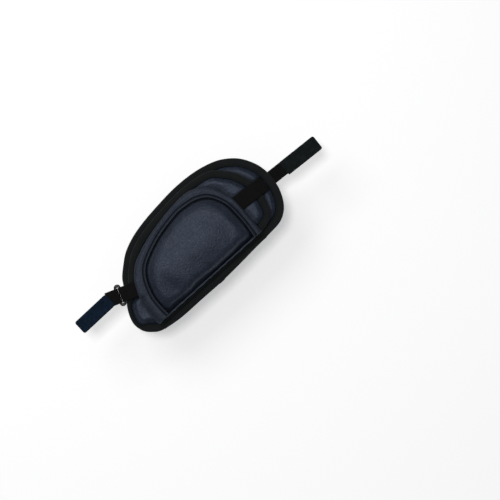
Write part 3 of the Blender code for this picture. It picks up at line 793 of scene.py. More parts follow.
def sew(name, part, line, *stand_ins, radius=0.34, pitch=3.1, sink=0.5, closed=False):
    """Separate stitches along a 3-D line: each rises out of its hole, lies on
    the surface and goes back down. A negative sink is for a face turned down."""
    share, samples, rings, sides = 0.74, 12, 7, 6
    up = np.array((0, 0, 1))
    count = max(2, round(length_of(line, closed) / pitch))
    fine = np.array(spaced(line, count * samples + (0 if closed else 1), closed))
    verts, faces, uvs = [], [], []
    for i in range(count):
        first = i * samples + round(samples * (1 - share) / 2)
        last = i * samples + round(samples * (1 + share) / 2)
        centre = fine[np.round(np.linspace(first, last, rings)).astype(int) % len(fine)]
        way = centre[-1] - centre[0]
        across = sideways(way / np.linalg.norm(way))
        jitter = 0.12 * math.sin(i * 12.9898)
        base = len(verts)
        for k in range(rings):
            part_way = k / (rings - 1) * 2 - 1
            dip = -sink * abs(part_way) ** 3.2
            fat = radius * (1 - 0.35 * part_way * part_way)
            slant = 0.10 * part_way * (1 + jitter) + 0.05 * jitter
            middle = centre[k] + across * slant + np.array((0, 0, dip))
            for j in range(sides):
                angle = tau * j / sides
                verts.append(middle + across * fat * math.cos(angle)
                             + up * fat * 0.85 * math.sin(angle))
        for k in range(rings - 1):
            for j in range(sides):
                near, far = base + k * sides + j, base + k * sides + (j + 1) % sides
                faces.append((near, far, far + sides, near + sides))
                along, turn = k * pitch * share / 6, j / sides
                uvs += [(along, turn), (along, turn + 1 / sides),
                        (along + 0.3, turn + 1 / sides), (along + 0.3, turn)]
        for k in (0, rings - 1):
            faces.append(tuple(base + k * sides + j for j in range(sides)))
            uvs += [(0, 0)] * sides
    attach(make(name, verts, faces, THREAD, uvs), part, "thread", *stand_ins)


def tack(name, part, axis, ends, edges, z):
    """A box of stitches in an axis's own frame."""
    (start, end), (low, high) = ends, edges
    corners = axis.points([(start, low), (end, low), (end, high), (start, high)])
    sew(name, part, [(x, y, z) for x, y in corners], radius=0.26, pitch=2.3, closed=True)


def cord(name, line, radius, look, closed=False, sides=10, ripple=0.0):
    """A round cord along a 3-D line, with small ripples where it is sewn."""
    line = np.asarray(line, float)
    rows = []
    for i, centre in enumerate(line):
        way = neighbour(line, i + 1, closed) - neighbour(line, i - 1, closed)
        way = way / max(np.linalg.norm(way), 1e-9)
        across = sideways(way)
        up = np.cross(way, across)
        fat = radius * (1 + ripple * math.sin(i * 1.9))
        rows.append([centre + across * fat * math.cos(tau * k / sides)
                     + up * fat * math.sin(tau * k / sides) for k in range(sides)])
    return lofted(name, rows, look, around=closed)


def ribbon(name, path, width, thick, axis, look=WEBBING, base=0.0, step=0.8, wave=0.05):
    """Webbing that follows a path of (along, height), with rounded selvedges."""
    line = spaced(path, max(6, round(length_of(path) / step)), False)
    half = width / 2
    # (place across the webbing, share of the full thickness there)
    profile = [(-half, 0.25), (-half + 0.25, 0.85), (-half + 0.9, 1.08), (-half + 1.8, 0.97),
               (-half * 0.5, 1.0), (-half * 0.2, 1.03), (0, 1.0), (half * 0.2, 1.03),
               (half * 0.5, 1.0), (half - 1.8, 0.97), (half - 0.9, 1.08),
               (half - 0.25, 0.85), (half, 0.25)]
    rows = []
    for i, (spot, normal) in enumerate(zip(line, left_normals(line, False))):
        ripple = wave * math.sin(i * step * 0.55) * math.sin(i * step * 0.17 + 1.0)
        row = []
        for side, order in ((1, profile), (-1, profile[::-1])):
            for across, fat in order:
                out = side * thick / 2 * fat + ripple * math.cos(across * 0.35)
                along, z = step_in(spot, normal, out)
                across = across * (1 + 0.004 * math.sin(i * 1.3))
                row.append((*axis.point(along, across), base + z))
        rows.append(row)
    return lofted(name, rows, look)


def tab(name, outline, centre_z, thick, axis, look, seed, border=1.1):
    """A piece of hook-and-loop tape: a pile field inside a flat selvedge."""
    points, faces = fill(outline, 0.85)
    edge = distance_to(points, outline)[0]
    field = ease(border - 0.3, border + 0.4, edge)
    rough = wander(points, 0.8, seed)
    centre = centre_z + 0.10 * wander(points, 9.0, seed + 3)
    half = (thick / 2) * (0.45 + 0.55 * ease(-0.05, 0.7, edge)) * (1 - 0.22 * (1 - field))
    return body(name, points, faces, centre + half + 0.10 * field * rough,
                centre - half - 0.08 * field * rough, look, axis)


# ------------------------------------------------------------------- outlines
PAD = spaced(smooth(PAD_OUTLINE, True), 320, True)
MIDDLE = spaced(smooth(MIDDLE_OUTLINE, True), 300, True)
EDGE = spaced(smooth(FLAP_EDGE, False), 200, False)
RIDGE = spaced(smooth(FLAP_RIDGE, False), 200, False)


def to_hinge(line, back=0.5, clear=1.5):
    """A flap line whose two ends are cut off just short of the hinge."""
    def short(spot):
        return (spot[0], hinge_y(spot[0]) + back)

    kept = [spot for spot in line if spot[1] > hinge_y(spot[0]) + back + clear]
    return [short(line[0]), *kept, short(line[-1])]


FLAP_AREA = to_hinge(EDGE)
SLOT = UPPER.points(rounded_box(*SLOT_S, -SLOT_W / 2, SLOT_W / 2, 0.9, 3))


def strap_near(x, y, reach=2.5):
    """1 under the upper strap's run over the pad, 0 away from it."""
    along, across = UPPER.local(x, y)
    beside = 1 - ease(STRAP_W / 2, STRAP_W / 2 + reach, np.abs(across))
    return beside * ease(-62, -57, along) * (1 - ease(-9.4, -7.5, along))


def band_near(x, y, reach=2.5):
    """1 under the webbing that holds the ring, 0 away from it."""
    along, across = RING.local(x, y)
    beside = 1 - ease(BAND_W / 2, BAND_W / 2 + reach, np.abs(across))
    return beside * ease(-27, -23.5, along)


# ------------------------------------------------------------------- base pad
def rim_share(x, y):
    """Share of the rim tape that shows on the face: the padding bulges over
    it round the end at -X, on the -Y side."""
    return 1 - 0.5 * (1 - ease(-93, -87, x)) * ease(-39, -31, y) * (1 - ease(-6, 0, y))


PAD_LINE = path_of(PAD, True)
PAD_SHARE = np.array([float(rim_share(x, y)) for x, y in PAD_LINE])
PAD_REACH = np.concatenate([[0], np.cumsum([math.dist(start, end) for start, end
                                            in zip(PAD_LINE, PAD_LINE[1:])])])


def base_height(points):
    """Height, distance in from the rim and distance outside the middle pad."""
    points = np.asarray(points, float)
    rim, reach = distance_to(points, PAD)
    share = np.interp(reach, PAD_REACH, PAD_SHARE)
    rim = np.where(rim < 8 * share, rim / share, rim + 8 * (1 - share))
    out = outside(points, MIDDLE)
    z = 5.5 + 2.55 * np.sin(np.pi / 2 * np.clip((rim - 7.3) / 6.6, 0, 1))
    bare = ease(0.6, 7.0, out) * ease(8.2, 15.0, rim)
    bare *= 1 - strap_near(points[:, 0], points[:, 1])
    z = z + (1.5 + 1.0 * (1 - ease(-70, -60, points[:, 0]))) * bare
    pucker = (np.sin(reach * tau / 6.2 + 1.4 * np.sin(reach * 0.11))
              * np.exp(-np.clip(rim - 8, 0, 99) / 2.4))
    return z + 0.13 * pucker * ease(7.0, 8.4, rim) * (out > 0), rim, out


points, faces = fill(shifted(PAD, 1.6), 2.6, holes=(SLOT,),
                     rows=inset_rows(PAD, (7.6, 10.0), 190))
height, rim_gap, out = base_height(points)
held = np.maximum.reduce([1 - ease(7.6, 9.6, rim_gap), 1 - ease(-1.0, 1.5, out),
                          1 - ease(0.5, 3.0, distance_to(points, SLOT)[0]),
                          strap_near(points[:, 0], points[:, 1])])
base = cover("base_leather_cover", points, faces, height, height - 2.2, height - 1.1,
             held, cap=0.7)
attach(base, "pad", "pad_leather", "base_leather")

FOAM_SLOT = UPPER.points(rounded_box(-12.6, -3.4, -7.9, 7.9, 0.9, 3))
points, faces = fill(shifted(PAD, 9.2), 3.2, holes=(FOAM_SLOT,))
top = np.minimum(base_height(points)[0] - 1.5, 7.2)
attach(body("base_foam_core", points, faces, top, 3.3, FOAM), "pad", "foam", "base_foam")

board_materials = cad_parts["stiffener_sheet"].data.materials
board_materials.clear()
board_materials.append(BOARD)

# The lining rises from the flat back to the under side of the rim tape, and
# stays flat at the mouth where the upper strap comes out.
points, faces = fill(shifted(PAD, 5.6), 2.8, rows=inset_rows(PAD, (7.2, 9.0, 11.0), 170))
rim_gap, reach = distance_to(points, PAD)
along, across = UPPER.local(points[:, 0], points[:, 1])
mouth = (1 - ease(SLOT_W / 2 - 0.2, SLOT_W / 2 + 3.0, np.abs(across))) * (along > -26)
rise = 1 - ease(6.2, 12.5, rim_gap)
creases = (0.10 * wander(points, 11.0, 3.0)
           + 0.14 * np.sin(reach * tau / 7.0) * np.exp(-np.abs(rim_gap - 9) / 2.0))
low = (0.04 + 2.75 * rise ** 1.3 * (1 - mouth)
       + np.abs(creases) * ease(6.5, 9, rim_gap) * (1 - mouth))
thick = 0.95 - 0.15 * rise
attach(body("back_lining_sheet", points, faces, low + thick * (1 - 0.25 * mouth), low,
            LINING, levels=1), "pad", "lining", "back_lining")


# --------------------------------------------------------------- binding tape
def tape_section(width, low, high, wall, dip):
    """Outer and inner faces of a tape folded round an edge, as (inset, height),
    with a groove at the inset dip, where it is sewn."""
    mid, half = (low + high) / 2, (high - low) / 2
    outer = []
    for k in range(13):
        angle = math.radians(-90 - 180 * k / 12)
        outer.append((1.9 + 1.9 * math.cos(angle), mid + half * math.sin(angle)))
    under = [(width, low + 0.25), (width - 0.8, low + 0.02), (dip, low + 0.16),
             (dip - 0.9, low), (3.2, low)]
    over = [(3.2, high), (dip - 1.6, high + 0.06), (dip - 0.7, high - 0.03),
            (dip, high - 0.24), (dip + 0.6, high - 0.02), (width - 0.35, high - 0.05),
            (width, high - 0.3)]
    inner = [(width, high - wall), (2.4, high - wall), (1.3, mid), (2.4, low + wall),
             (width, low + wall)]
    return under + outer + over + inner


def taped(name, line, section, seed, share=None):
    """Carries a tape section round an outline, with puckers at each stitch."""
    step = length_of(line, True) / len(line)
    rows = []
    for i, (spot, normal) in enumerate(zip(line, left_normals(line, True))):
        reach = i * step
        pucker = 0.07 * math.sin(tau * reach / 3.1)
        slow = (0.10 * noise.noise(Vector((reach / 14.0, seed, 0)))
                + 0.05 * math.sin(reach / 5.3))
        shown = float(share(*spot)) if share else 1.0
        row = []
        for inset, z in section:
            rim = max(0.0, min(1.0, (inset - 1.0) / 4.0))
            inset = inset * (1 - (1 - shown) * rim) + slow * (0.5 + rim)
            side = 1 if z > section[0][1] + 1 else -1
            row.append((*step_in(spot, normal, inset), z + pucker * rim * side))
        rows.append(row)
    return lofted(name, rows, BINDING, around=True)


# The rim tape starts on the long side at -Y.
rim_line = spaced(PAD, 460, True)
first = min(range(len(rim_line)), key=lambda i: math.dist(rim_line[i], (-6, -50.2)))
rim_line = rim_line[first:] + rim_line[:first]
rim = taped("rim_binding_tape", rim_line, tape_section(RIM_WIDTH, *RIM_Z, 0.75, RIM_SEAM),
            seed=1.7, share=rim_share)
attach(rim, "pad", "binding_tape", "rim_binding")

# The tape's two ends meet in a small folded overlap.
rim_normals = left_normals(rim_line, True)
rim_middle = 5.1
rows = []
for k in range(-4, 5):
    lift = 0.42 * (1 - (abs(k) / 4) ** 4)
    rows.append([(*step_in(rim_line[k], rim_normals[k], inset - (lift if inset < 2 else 0)),
                  z + lift * (1 if z > rim_middle else -1))
                 for inset, z in tape_section(RIM_WIDTH - 0.6, *RIM_Z, 1.4, 6.2)])
attach(lofted("rim_tape_overlap", rows, BINDING), "pad", "binding_tape")

rim_row = [step_in(spot, normal, RIM_SEAM * float(rim_share(*spot)))
           for spot, normal in zip(PAD, left_normals(PAD, True))]
sew("rim_stitches", "pad", [(x, y, RIM_Z[1] + 0.02) for x, y in rim_row], "rim_thread",
    closed=True)
# Underneath, the row leaves a gap for the upper strap and starts at its far side.
back_row = [(x, y, RIM_Z[0]) for x, y in rim_row
            if not (abs(UPPER.local(x, y)[1]) < 8.2 and x > 60)]
gap = max(range(len(back_row)), key=lambda i: math.dist(back_row[i], back_row[i - 1]))
sew("rim_stitches_back", "pad", back_row[gap:] + back_row[:gap], sink=-0.4)


# ----------------------------------------------------------------- middle pad
def middle_height(points):
    """Height, distance in from the edge and distance outside the flap."""
    points = np.asarray(points, float)
    x, y = points[:, 0], points[:, 1]
    edge, reach = distance_to(points, MIDDLE)
    clear = outside(points, FLAP_AREA, closed=False)
    z = 10.45 + 1.9 * np.sin(np.pi / 2 * np.clip((edge - 6.3) / 6.0, 0, 1))
    bare = ease(0.5, 6.0, clear) * ease(7.4, 12.0, edge)
    bare *= 1 - np.maximum(strap_near(x, y), band_near(x, y))
    pucker = (np.sin(reach * tau / 5.6 + 1.1 * np.sin(reach * 0.13))
              * np.exp(-np.clip(edge - 7, 0, 99) / 2.2))
    return z + 1.1 * bare + 0.12 * pucker * ease(6.2, 7.4, edge), edge, clear


points, faces = fill(shifted(MIDDLE, 1.5), 2.5, rows=inset_rows(MIDDLE, (6.6, 8.8), 170))
height, edge_gap, clear = middle_height(points)
held = np.maximum.reduce([1 - ease(6.6, 8.8, edge_gap), 1 - ease(-1.5, 2.0, clear),
                          strap_near(points[:, 0], points[:, 1]),
                          band_near(points[:, 0], points[:, 1])])
middle = cover("middle_leather_cover", points, faces, height, height - 2.0,
               np.maximum(height - 1.1, 9.85), held, cap=0.6)
attach(middle, "pad", "pad_leather", "middle_leather")

points, faces = fill(shifted(MIDDLE, 7.6), 3.4)
top = np.minimum(middle_height(points)[0] - 1.4, 11.0)
attach(body("middle_foam_core", points, faces, top, 8.75, FOAM), "pad", "foam", "middle_foam")
points, faces = fill(shifted(MIDDLE, 5.0), 3.4)
attach(body("middle_backing", points, faces, 9.6, 8.72 + 0.05 * wander(points, 12), LINING),
       "pad", "lining")

attach(taped("middle_binding_tape", spaced(MIDDLE, 400, True),
             tape_section(MID_WIDTH, *MID_Z, 0.7, MID_SEAM), seed=8.1),
       "pad", "binding_tape", "middle_binding")
middle_row = [(x, y, MID_Z[1] - 0.02) for x, y in spaced(shifted(MIDDLE, MID_SEAM), 400, True)]
sew("middle_stitches", "pad", middle_row, "middle_thread", radius=0.3, closed=True)

# ---------------------------------------------------------------------- spine
# A tape along the hinge on the base pad, thinner towards its ends.
SPINE_LOW = 7.42
rows = []
for x in np.arange(-80, 57.1, 1.0):
    pucker = 0.07 * math.sin(tau * x / 3.1)
    end = 1 - ease(-80, -77.5, x) + ease(54.5, 57, x)
    # (y from the hinge, z)
    section = [(0.5, 7.6), (-1.5, 7.45), (-6.6, 7.45), (-7.2, 7.7), (-7.15, 8.2), (-6.7, 8.65),
               (-6.0, 8.95), (-5.2, 9.05 + pucker), (-4.2, 9.0 + pucker), (-3.3, 8.75),
               (-2.9, 8.35), (-2.5, 8.2), (-2.1, 8.35), (-1.7, 8.8), (-1.2, 9.1), (-0.4, 9.1),
               (0.1, 8.9), (0.5, 8.4)]
    rows.append([(x, hinge_y(x) + dy, SPINE_LOW + (z - SPINE_LOW) * (1 - 0.6 * end))
                 for dy, z in section])
attach(lofted("spine_tape", rows, BINDING), "pad", "binding_tape", "spine_strip")
attach(cord("spine_piping", [(x, hinge_y(x) - 0.75, 9.45) for x in np.arange(-79, 56.1, 0.8)],
            0.72, BINDING, ripple=0.06), "pad", "binding_tape", "spine_cord")
sew("spine_stitches", "pad",
    [(x, hinge_y(x) - 2.5, 8.42) for x in np.arange(-78.5, 55.6, 0.8)], "spine_thread",
    radius=0.42)


# ------------------------------------------------------------- closure patches
def closure_patch(kind, part, z, thick, seed, stitch_z, sink):
    """A rounded patch of tape with a row of stitches inside its edge."""
    attach(tab(f"closure_{kind}_field", rounded_box(*PATCH_BOX, 3.0), z, thick, PLAN,
               UPPER_TAPE, seed, border=1.6), part, "upper_tape", f"closure_{kind}_patch")
    x0, x1, y0, y1 = PATCH_BOX
    inset = 1.1
    row = rounded_box(x0 + inset, x1 - inset, y0 + inset, y1 - inset, 2.4)
    sew(f"closure_{kind}_stitches", part, [(x, y, stitch_z) for x, y in row],
        radius=0.26, pitch=2.6, sink=sink, closed=True)


closure_patch("hook", "pad", z=13.05, thick=0.8, seed=4.2, stitch_z=13.42, sink=0.5)

# --------------------------------------------------------------- flap cushion
INNER = shifted(RIDGE, 0.55, False)
PANEL_BACK = 0.9
PANEL = to_hinge(INNER, back=PANEL_BACK, clear=1.2)


def panel_gaps(points):
    """Distance in from the seam, reach along it, and distance from the back."""
    sewn, reach = distance_to(points[:, :2], PANEL, False)
    return sewn, reach, points[:, 1] - hinge_y(points[:, 0]) - PANEL_BACK


def panel_height(points):
    sewn, _, back = panel_gaps(points)
    side = 1 - (1 - np.clip(sewn / 12.5, 0, 1)) ** 2.3
    y = points[:, 1] + 5
    over = np.where(y > 0, 1 - (np.clip(y, 0, 39.5) / 40.5) ** 2,
                    1 - (np.clip(-y, 0, 32.5) / 34) ** 1.95) ** 0.62
    ends = 1 - 0.22 * np.clip(np.abs(points[:, 0] + 10) / 58, 0, 1) ** 2.4
    rim = 16.6 - 3.0 * (1 - ease(3.2, 6.8, back))
    rise = (side * (0.12 + 0.88 * over) * ends
            * np.sqrt(1 - (1 - np.clip((back - 3.9) / 8.0, 0, 1)) ** 2))
    return rim + 7.2 * rise


points, faces = fill(PANEL, 2.7)
height = panel_height(points)
sewn, _, back = panel_gaps(points)
panel = cover("flap_cushion_leather", points, faces, height, np.minimum(height - 0.8, 15.6),
              np.clip(height - 1.2, 13.3, 15.6), 1 - ease(0.0, 1.6, np.minimum(sewn, back)),
              cap=2.2, levels=2)

# Press the seam groove, stitch tugs, slow swells and folds by the hinge into the top.
verts = coordinates(panel.data)
sewn, reach, back = panel_gaps(verts)
groove = np.exp(-((sewn - 1.4) / 0.75) ** 2) * (back > 1.0)
tugs = (np.sin(reach * tau / 3.1) * np.exp(-np.clip(sewn - 1.4, 0, 99) / 1.3)
        * (back > 2.0))
slow = wander(verts[:, :2], 17.0, 5.0) * ease(3, 12, np.minimum(sewn, back))
folds = (np.sin(verts[:, 0] * tau / 13.0 + 2.0 * np.sin(verts[:, 0] * 0.07))
         * np.exp(-((back - 4.5) / 3.2) ** 2))
verts[:, 2] += (verts[:, 2] > 16.4) * (
    -0.75 * groove + 0.10 * tugs + 0.16 * slow
    + 0.22 * folds * ease(1.0, 3.0, back) * ease(2, 8, sewn))
panel.data.vertices.foreach_set("co", (verts * MM).astype(np.float32).ravel())
panel.data.update()
attach(panel, "flap", "pad_leather", "flap_panel_leather")

points, faces = fill(to_hinge(shifted(INNER, 1.6, False), back=9.0, clear=1.2), 3.6)
top = np.maximum(panel_height(points) - 2.4, 15.95)
attach(body("flap_foam_core", points, faces, top, 15.8, FOAM), "flap", "foam", "flap_foam")


# ------------------------------------------------------------------ flap edge
ROLL_Z = 17.1
ROLL_R = 1.7
GROOVE_END = 3.6  # the stitched groove ends this far out from the ridge


def drape(x, y):
    """How far the flap's free edge hangs below its CAD height."""
    sag = 1.15 + 1.7 * float(ease(-1.0, 5.0, outside([(x, y)], MIDDLE)[0]))
    held_up = max(float(strap_near(x, y, 5.0)), float(band_near(x, y, 5.0)))
    return sag * (1 - held_up * 0.85)


def roll_row(inner, outer, reach):
    """One section of the edge roll, from the ridge out to the free edge."""
    width = math.dist(inner, outer)
    way = ((outer[0] - inner[0]) / width, (outer[1] - inner[1]) / width)
    sag = drape(*outer)
    tug = 0.08 * math.sin(tau * reach / 3.3)
    slow = 0.12 * noise.noise(Vector((reach / 12.0, 3.3, 0)))
    section = []
    for out in (0.0, 0.5, 0.9, 1.3, 1.6, 1.85, 2.1, 2.4, 2.8, 3.2, GROOVE_END):
        z = 16.95 + 0.1 * ease(0, 1.2, out) - 0.85 * math.exp(-((out - 1.85) / 0.62) ** 2)
        section.append((out, z + tug * ease(1.2, 2.6, out)))
    for share in (0.18, 0.38, 0.58, 0.76):
        out = GROOVE_END + (width - GROOVE_END - ROLL_R) * share / 0.76
        puff = 0.55 * math.sin(math.pi * min(1.0, share / 0.76 * 0.62 + 0.1))
        section.append((out, ROLL_Z + puff + slow + tug * (1 - share)))
    edge_z = ROLL_Z + 0.30 + slow
    mid, half = (edge_z + FLAP_Z) / 2, (edge_z - FLAP_Z) / 2
    for k in range(1, 8):
        angle = math.radians(90 - 180 * k / 8)
        section.append((width - ROLL_R + ROLL_R * math.cos(angle),
                        mid + half * math.sin(angle)))
    section += [(width - 1.9, FLAP_Z), (width * 0.62, FLAP_Z + 0.1),
                (width * 0.3, FLAP_Z + 0.25), (0.0, FLAP_Z + 0.6)]
    row = []
    for out, z in section:
        fall = sag * (max(0.0, out - 2.2) / max(width - 2.2, 0.1)) ** 1.5
        row.append((*step_in(inner, way, out), z - fall))
    return row


def before_hinge(spot, gap):
    """The point, moved if need be to lie at least a gap from the hinge."""
    return spot[0], max(spot[1], hinge_y(spot[0]) + gap)


rows = []
reach = 0.0
for i, (inner, outer) in enumerate(zip(shifted(RIDGE, -0.35, False), EDGE)):
    outer = before_hinge(outer, 0.6)
    if i:
        reach += math.dist(outer, EDGE[i - 1])
    rows.append(roll_row(before_hinge(inner, 0.6), outer, reach))
attach(lofted("flap_edge_roll", rows, EDGE_LEATHER), "flap", "flap_edge_leather",
       "flap_edge_leather")

piping = [(*before_hinge(spot, 0.7), 17.35) for spot in RIDGE]
attach(cord("flap_piping", piping, 0.72, EDGE_LEATHER, ripple=0.05), "flap",
       "flap_edge_leather", "flap_seam_cord")


def flap_row(distance):
    """The part of a line beside the ridge that is clear of the hinge."""
    return [spot for spot in shifted(RIDGE, distance, False)
            if spot[1] > hinge_y(spot[0]) + 1.2]


sew("flap_outer_stitches", "flap", [(x, y, 16.42) for x, y in flap_row(-2.2)],
    "flap_outer_thread", radius=0.4)

# The inner row follows the top of the cushion, evened out along the row.
skin = coordinates(panel.data)
inner_row = flap_row(1.95)
heights = []
for x, y in inner_row:
    gap = np.hypot(skin[:, 0] - x, skin[:, 1] - y)
    close = (gap < 1.1) & (skin[:, 2] > 16.0)
    heights.append(float(skin[close, 2].max()) - 0.05 if close.any() else 17.2)
heights = np.convolve(np.pad(heights, 4, mode="edge"), np.ones(9) / 9, mode="valid")
sew("flap_inner_stitches", "flap", [(x, y, z - 0.1) for (x, y), z in zip(inner_row, heights)],
    "flap_inner_thread", radius=0.36)

# ------------------------------------------------------- under side of the flap
under_line = to_hinge(shifted(RIDGE, -1.6, False), back=5.4)
points, faces = fill(under_line, 3.0)
edge_gap = distance_to(points, under_line)[0]
top = 15.55 - 0.35 * (1 - ease(0, 4, edge_gap))
low = (14.85 + 0.10 * wander(points, 14.0, 9.0) * ease(1, 5, edge_gap)
       - 0.15 * (1 - ease(0, 3, edge_gap)))
attach(body("flap_lining_sheet", points, faces, top, low, LINING, levels=1),
       "flap", "lining", "flap_lining")
closure_patch("loop", "flap", z=14.25, thick=0.75, seed=6.6, stitch_z=13.95, sink=-0.4)

# Leather that runs from the spine up into the flap.
# Each side is rows of (y from the hinge, z), up the outer side and down the inner.
HINGE_OUTER = [(0.1, 8.6), (0.15, 9.6), (0.15, 10.6), (0.15, 11.6), (0.15, 12.6),
               (0.2, 13.5), (0.3, 14.4), (0.5, 15.2), (0.85, 15.8), (1.3, 16.05)]
HINGE_INNER = [(1.8, 15.8), (2.05, 15.2), (2.05, 14.4), (1.85, 13.5), (1.6, 12.6),
               (1.4, 11.6), (1.25, 10.6), (1.1, 9.6), (1.0, 8.6)]
rows = []
for x in np.arange(-80.2, 56.3, 1.0):
    gather = (0.20 * math.sin(tau * x / 11.0 + 1.5 * math.sin(x * 0.09))
              + 0.10 * math.sin(x * 1.3))
    gather *= float(ease(-80, -74, x) * (1 - ease(50, 56, x)))
    row = [(x, hinge_y(x) + dy + gather * math.sin(math.pi * k / 9), z)
           for k, (dy, z) in enumerate(HINGE_OUTER)]
    row += [(x, hinge_y(x) + dy + gather * math.sin(math.pi * (1 - k / 8)) * 0.8, z)
            for k, (dy, z) in enumerate(HINGE_INNER)]
    rows.append(row)
hinge = lofted("flap_hinge_leather", rows, LEATHER)
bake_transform(hinge)


# --------------------------------------------------------- tape tabs on straps
def tape_tab(level, part, axis, look, ends, width, shift, loop_start, hook_corners,
             tack_start, back_half, tape_z, tack_z, seeds):
    """Two layers of tape joined by a turned end, sewn to a strap. Each pair of
    heights or seeds is for the loop layer or face and then the hook layer or back."""
    slot, lid = f"{level}_tape", f"{level}_tab_cover"
    edges = (shift - width / 2, shift + width / 2)
    start, end = ends
    loop = rounded_box(start + loop_start, end - 1.5, *edges, 2.0, corners=(1, 0, 0, 1))
    attach(tab(f"{level}_loop_tape", loop, tape_z[0], 0.95, axis, look, seeds[0]),
           part, slot, f"{level}_tab_loop_tape")
    hook = rounded_box(*ends, *edges, 2.0, corners=hook_corners)
    attach(tab(f"{level}_hook_tape", hook, tape_z[1], 1.0, axis, look, seeds[1]),
           lid, slot, f"{level}_tab_hook_tape")
    tack_ends = (start + tack_start, end - 2.8)
    tack(f"{level}_tab_stitches", part, axis, tack_ends, (edges[0] + 1.3, edges[1] - 1.3),
         tack_z[0])
    tack(f"{level}_tab_stitches_back", part, axis, tack_ends, (-back_half, back_half),
         tack_z[1])

    low, high = tape_z
    path = [(end - 3.2, low), (end - 1.2, low)]
    path += circle(end - 0.9, (low + high) / 2, (high - low) / 2, -90, 90, 10)
    path += [(end - 1.2, high), (end - 3.2, high)]
    turned = ribbon(f"{level}_tape_fold", path, width - 2.6, 0.85,
                    Axis(axis.point(0.0, shift), axis.degrees), look, step=0.35, wave=0.0)
    peel = axis.point(end)
    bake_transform(turned)


# ----------------------------------------------------------------- upper strap
# (along, height): over the pad, down its end and through the slot
face_run = [(-56.0, 13.3), (-30.0, 13.3)] + smooth(
    [(-21.0, 13.3), (-18.8, 13.25), (-17.1, 12.7), (-15.3, 11.5), (-13.4, 10.3),
     (-11.6, 9.5), (-10.2, 8.6), (-9.75, 7.2), (-10.2, 5.4), (-10.6, 3.7)], False, 6)
attach(ribbon("upper_strap_over_pad", face_run, STRAP_W + 1.6, 1.1, UPPER), "pad",
       "strap_webbing", "upper_strap_inner")

strap = ribbon("upper_strap_run", [(-30, STRAP_Z), (57.0, STRAP_Z)], STRAP_W, 1.15, UPPER,
               wave=0.06)
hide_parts("upper_strap_webbing", "upper_tab_webbing")
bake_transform(strap)

tape_tab("upper", "upper_tab", UPPER, UPPER_TAPE, ends=TAB_S, width=TAB_W, shift=TAB_SHIFT,
         loop_start=2.0, hook_corners=(1, 0, 0, 1), tack_start=3.2, back_half=5.9,
         tape_z=(3.37, 4.6), tack_z=(3.78, 1.58), seeds=(1.1, 2.2))

# -------------------------------------------------------- lower ring and strap
# The wire ring: two straight bars joined by half circles.
path = [(BAR_HALF * math.cos(math.radians(begin + turn)),
         sign * RING_HALF + BAR_HALF * math.sin(math.radians(begin + turn)))
        for sign, begin in ((1, 0), (-1, 180)) for turn in range(0, 181, 12)]
path = spaced([(*RING.point(*spot), RING_Z) for spot in path], 90, True)
attach(cord("lower_ring_wire", path, WIRE_R, WIRE, closed=True, sides=14),
       "lower_ring", "coated_wire", "lower_ring")

# Each end of the ring is thickened inward.
END_R = WIRE_R + 0.03
for sign, name in ((1, "lower_ring_upper_end"), (-1, "lower_ring_lower_end")):
    rows = []
    for degrees in range(0, 181, 9):
        angle = math.radians(degrees)
        along, across = math.cos(angle), sign * math.sin(angle)
        grow = 1.27 * max(math.sin(angle), 0.0) ** 0.5
        row = []
        for k in range(14):
            turn = tau * k / 14
            out = BAR_HALF - grow / 2 + (END_R + grow / 2) * math.cos(turn)
            row.append((*RING.point(along * out, sign * RING_HALF + across * out),
                        RING_Z + END_R * math.sin(turn)))
        rows.append(row)
    attach(lofted(name, rows, WIRE), "lower_ring", "coated_wire")

# Webbing round the pad-side bar, sewn to the pad: (along, height from the ring).
inner = -BAR_HALF
band = smooth([(inner - 20.5, 4.05), (inner - 8.4, 4.05), (inner - 7.0, 3.9),
               (inner - 5.2, 3.05), (inner - 3.4, 2.2), (inner - 1.8, 1.85)], False, 6)
band += circle(inner, 0, LOOP_MID, 88, -165, 18) + [(inner - 2.5, 0.95)]
attach(ribbon("ring_band", band, BAND_W + 1.0, 1.0, RING, base=RING_Z, step=0.6, wave=0.0),
       "pad", "strap_webbing", "ring_anchor_webbing")
tack("ring_band_stitches", "pad", RING, (inner - 19.0, inner - 12.0), (-5.4, 5.4),
     RING_Z + 4.42)

# Webbing round the outer bar, closed on itself.
outer = BAR_HALF
loop_path = [(outer + 11.5, -0.47), (outer + 3.4, -0.47), (outer + 2.2, -0.62)]
loop_path += circle(outer, 0, LOOP_MID, -38, -322, 24)
loop_path += [(outer + 2.2, 0.62), (outer + 3.4, 0.47), (outer + 11.5, 0.47)]
attach(ribbon("lower_strap_loop", loop_path, BAND_W + 1.0, 1.0, RING, base=RING_Z,
              step=0.6, wave=0.0), "lower_strap", "strap_webbing", "lower_strap_webbing")
attach(ribbon("lower_tab_core", [(0.4, 0.0), (LOWER_TAB_L - 1.0, 0.0)], LOWER_TAB_W - 0.6,
              1.7, LOWER_TAB, base=RING_Z), "lower_strap", "strap_webbing")
tape_tab("lower", "lower_strap", LOWER_TAB, LOWER_TAPE, ends=(0.0, LOWER_TAB_L),
         width=LOWER_TAB_W, shift=0.0, loop_start=2.4, hook_corners=(1, 1, 1, 1),
         tack_start=3.6, back_half=LOWER_TAB_W / 2 - 1.7,
         tape_z=(RING_Z + 1.6, RING_Z + 2.82), tack_z=(RING_Z + 2.0, RING_Z - 0.82),
         seeds=(3.3, 4.4))

# ----------------------------------------------------------- stage, in metres
FLOOR_Z, FLOOR_HALF = -0.062, 3
corners = [(x * FLOOR_HALF, y * FLOOR_HALF, FLOOR_Z)
           for x, y in ((-1, -1), (1, -1), (1, 1), (-1, 1))]
floor_mesh = bpy.data.meshes.new("floor")
floor_mesh.from_pydata(corners, [], [(0, 1, 2, 3)])
floor = bpy.data.objects.new("floor", floor_mesh)
bpy.context.scene.collection.objects.link(floor)


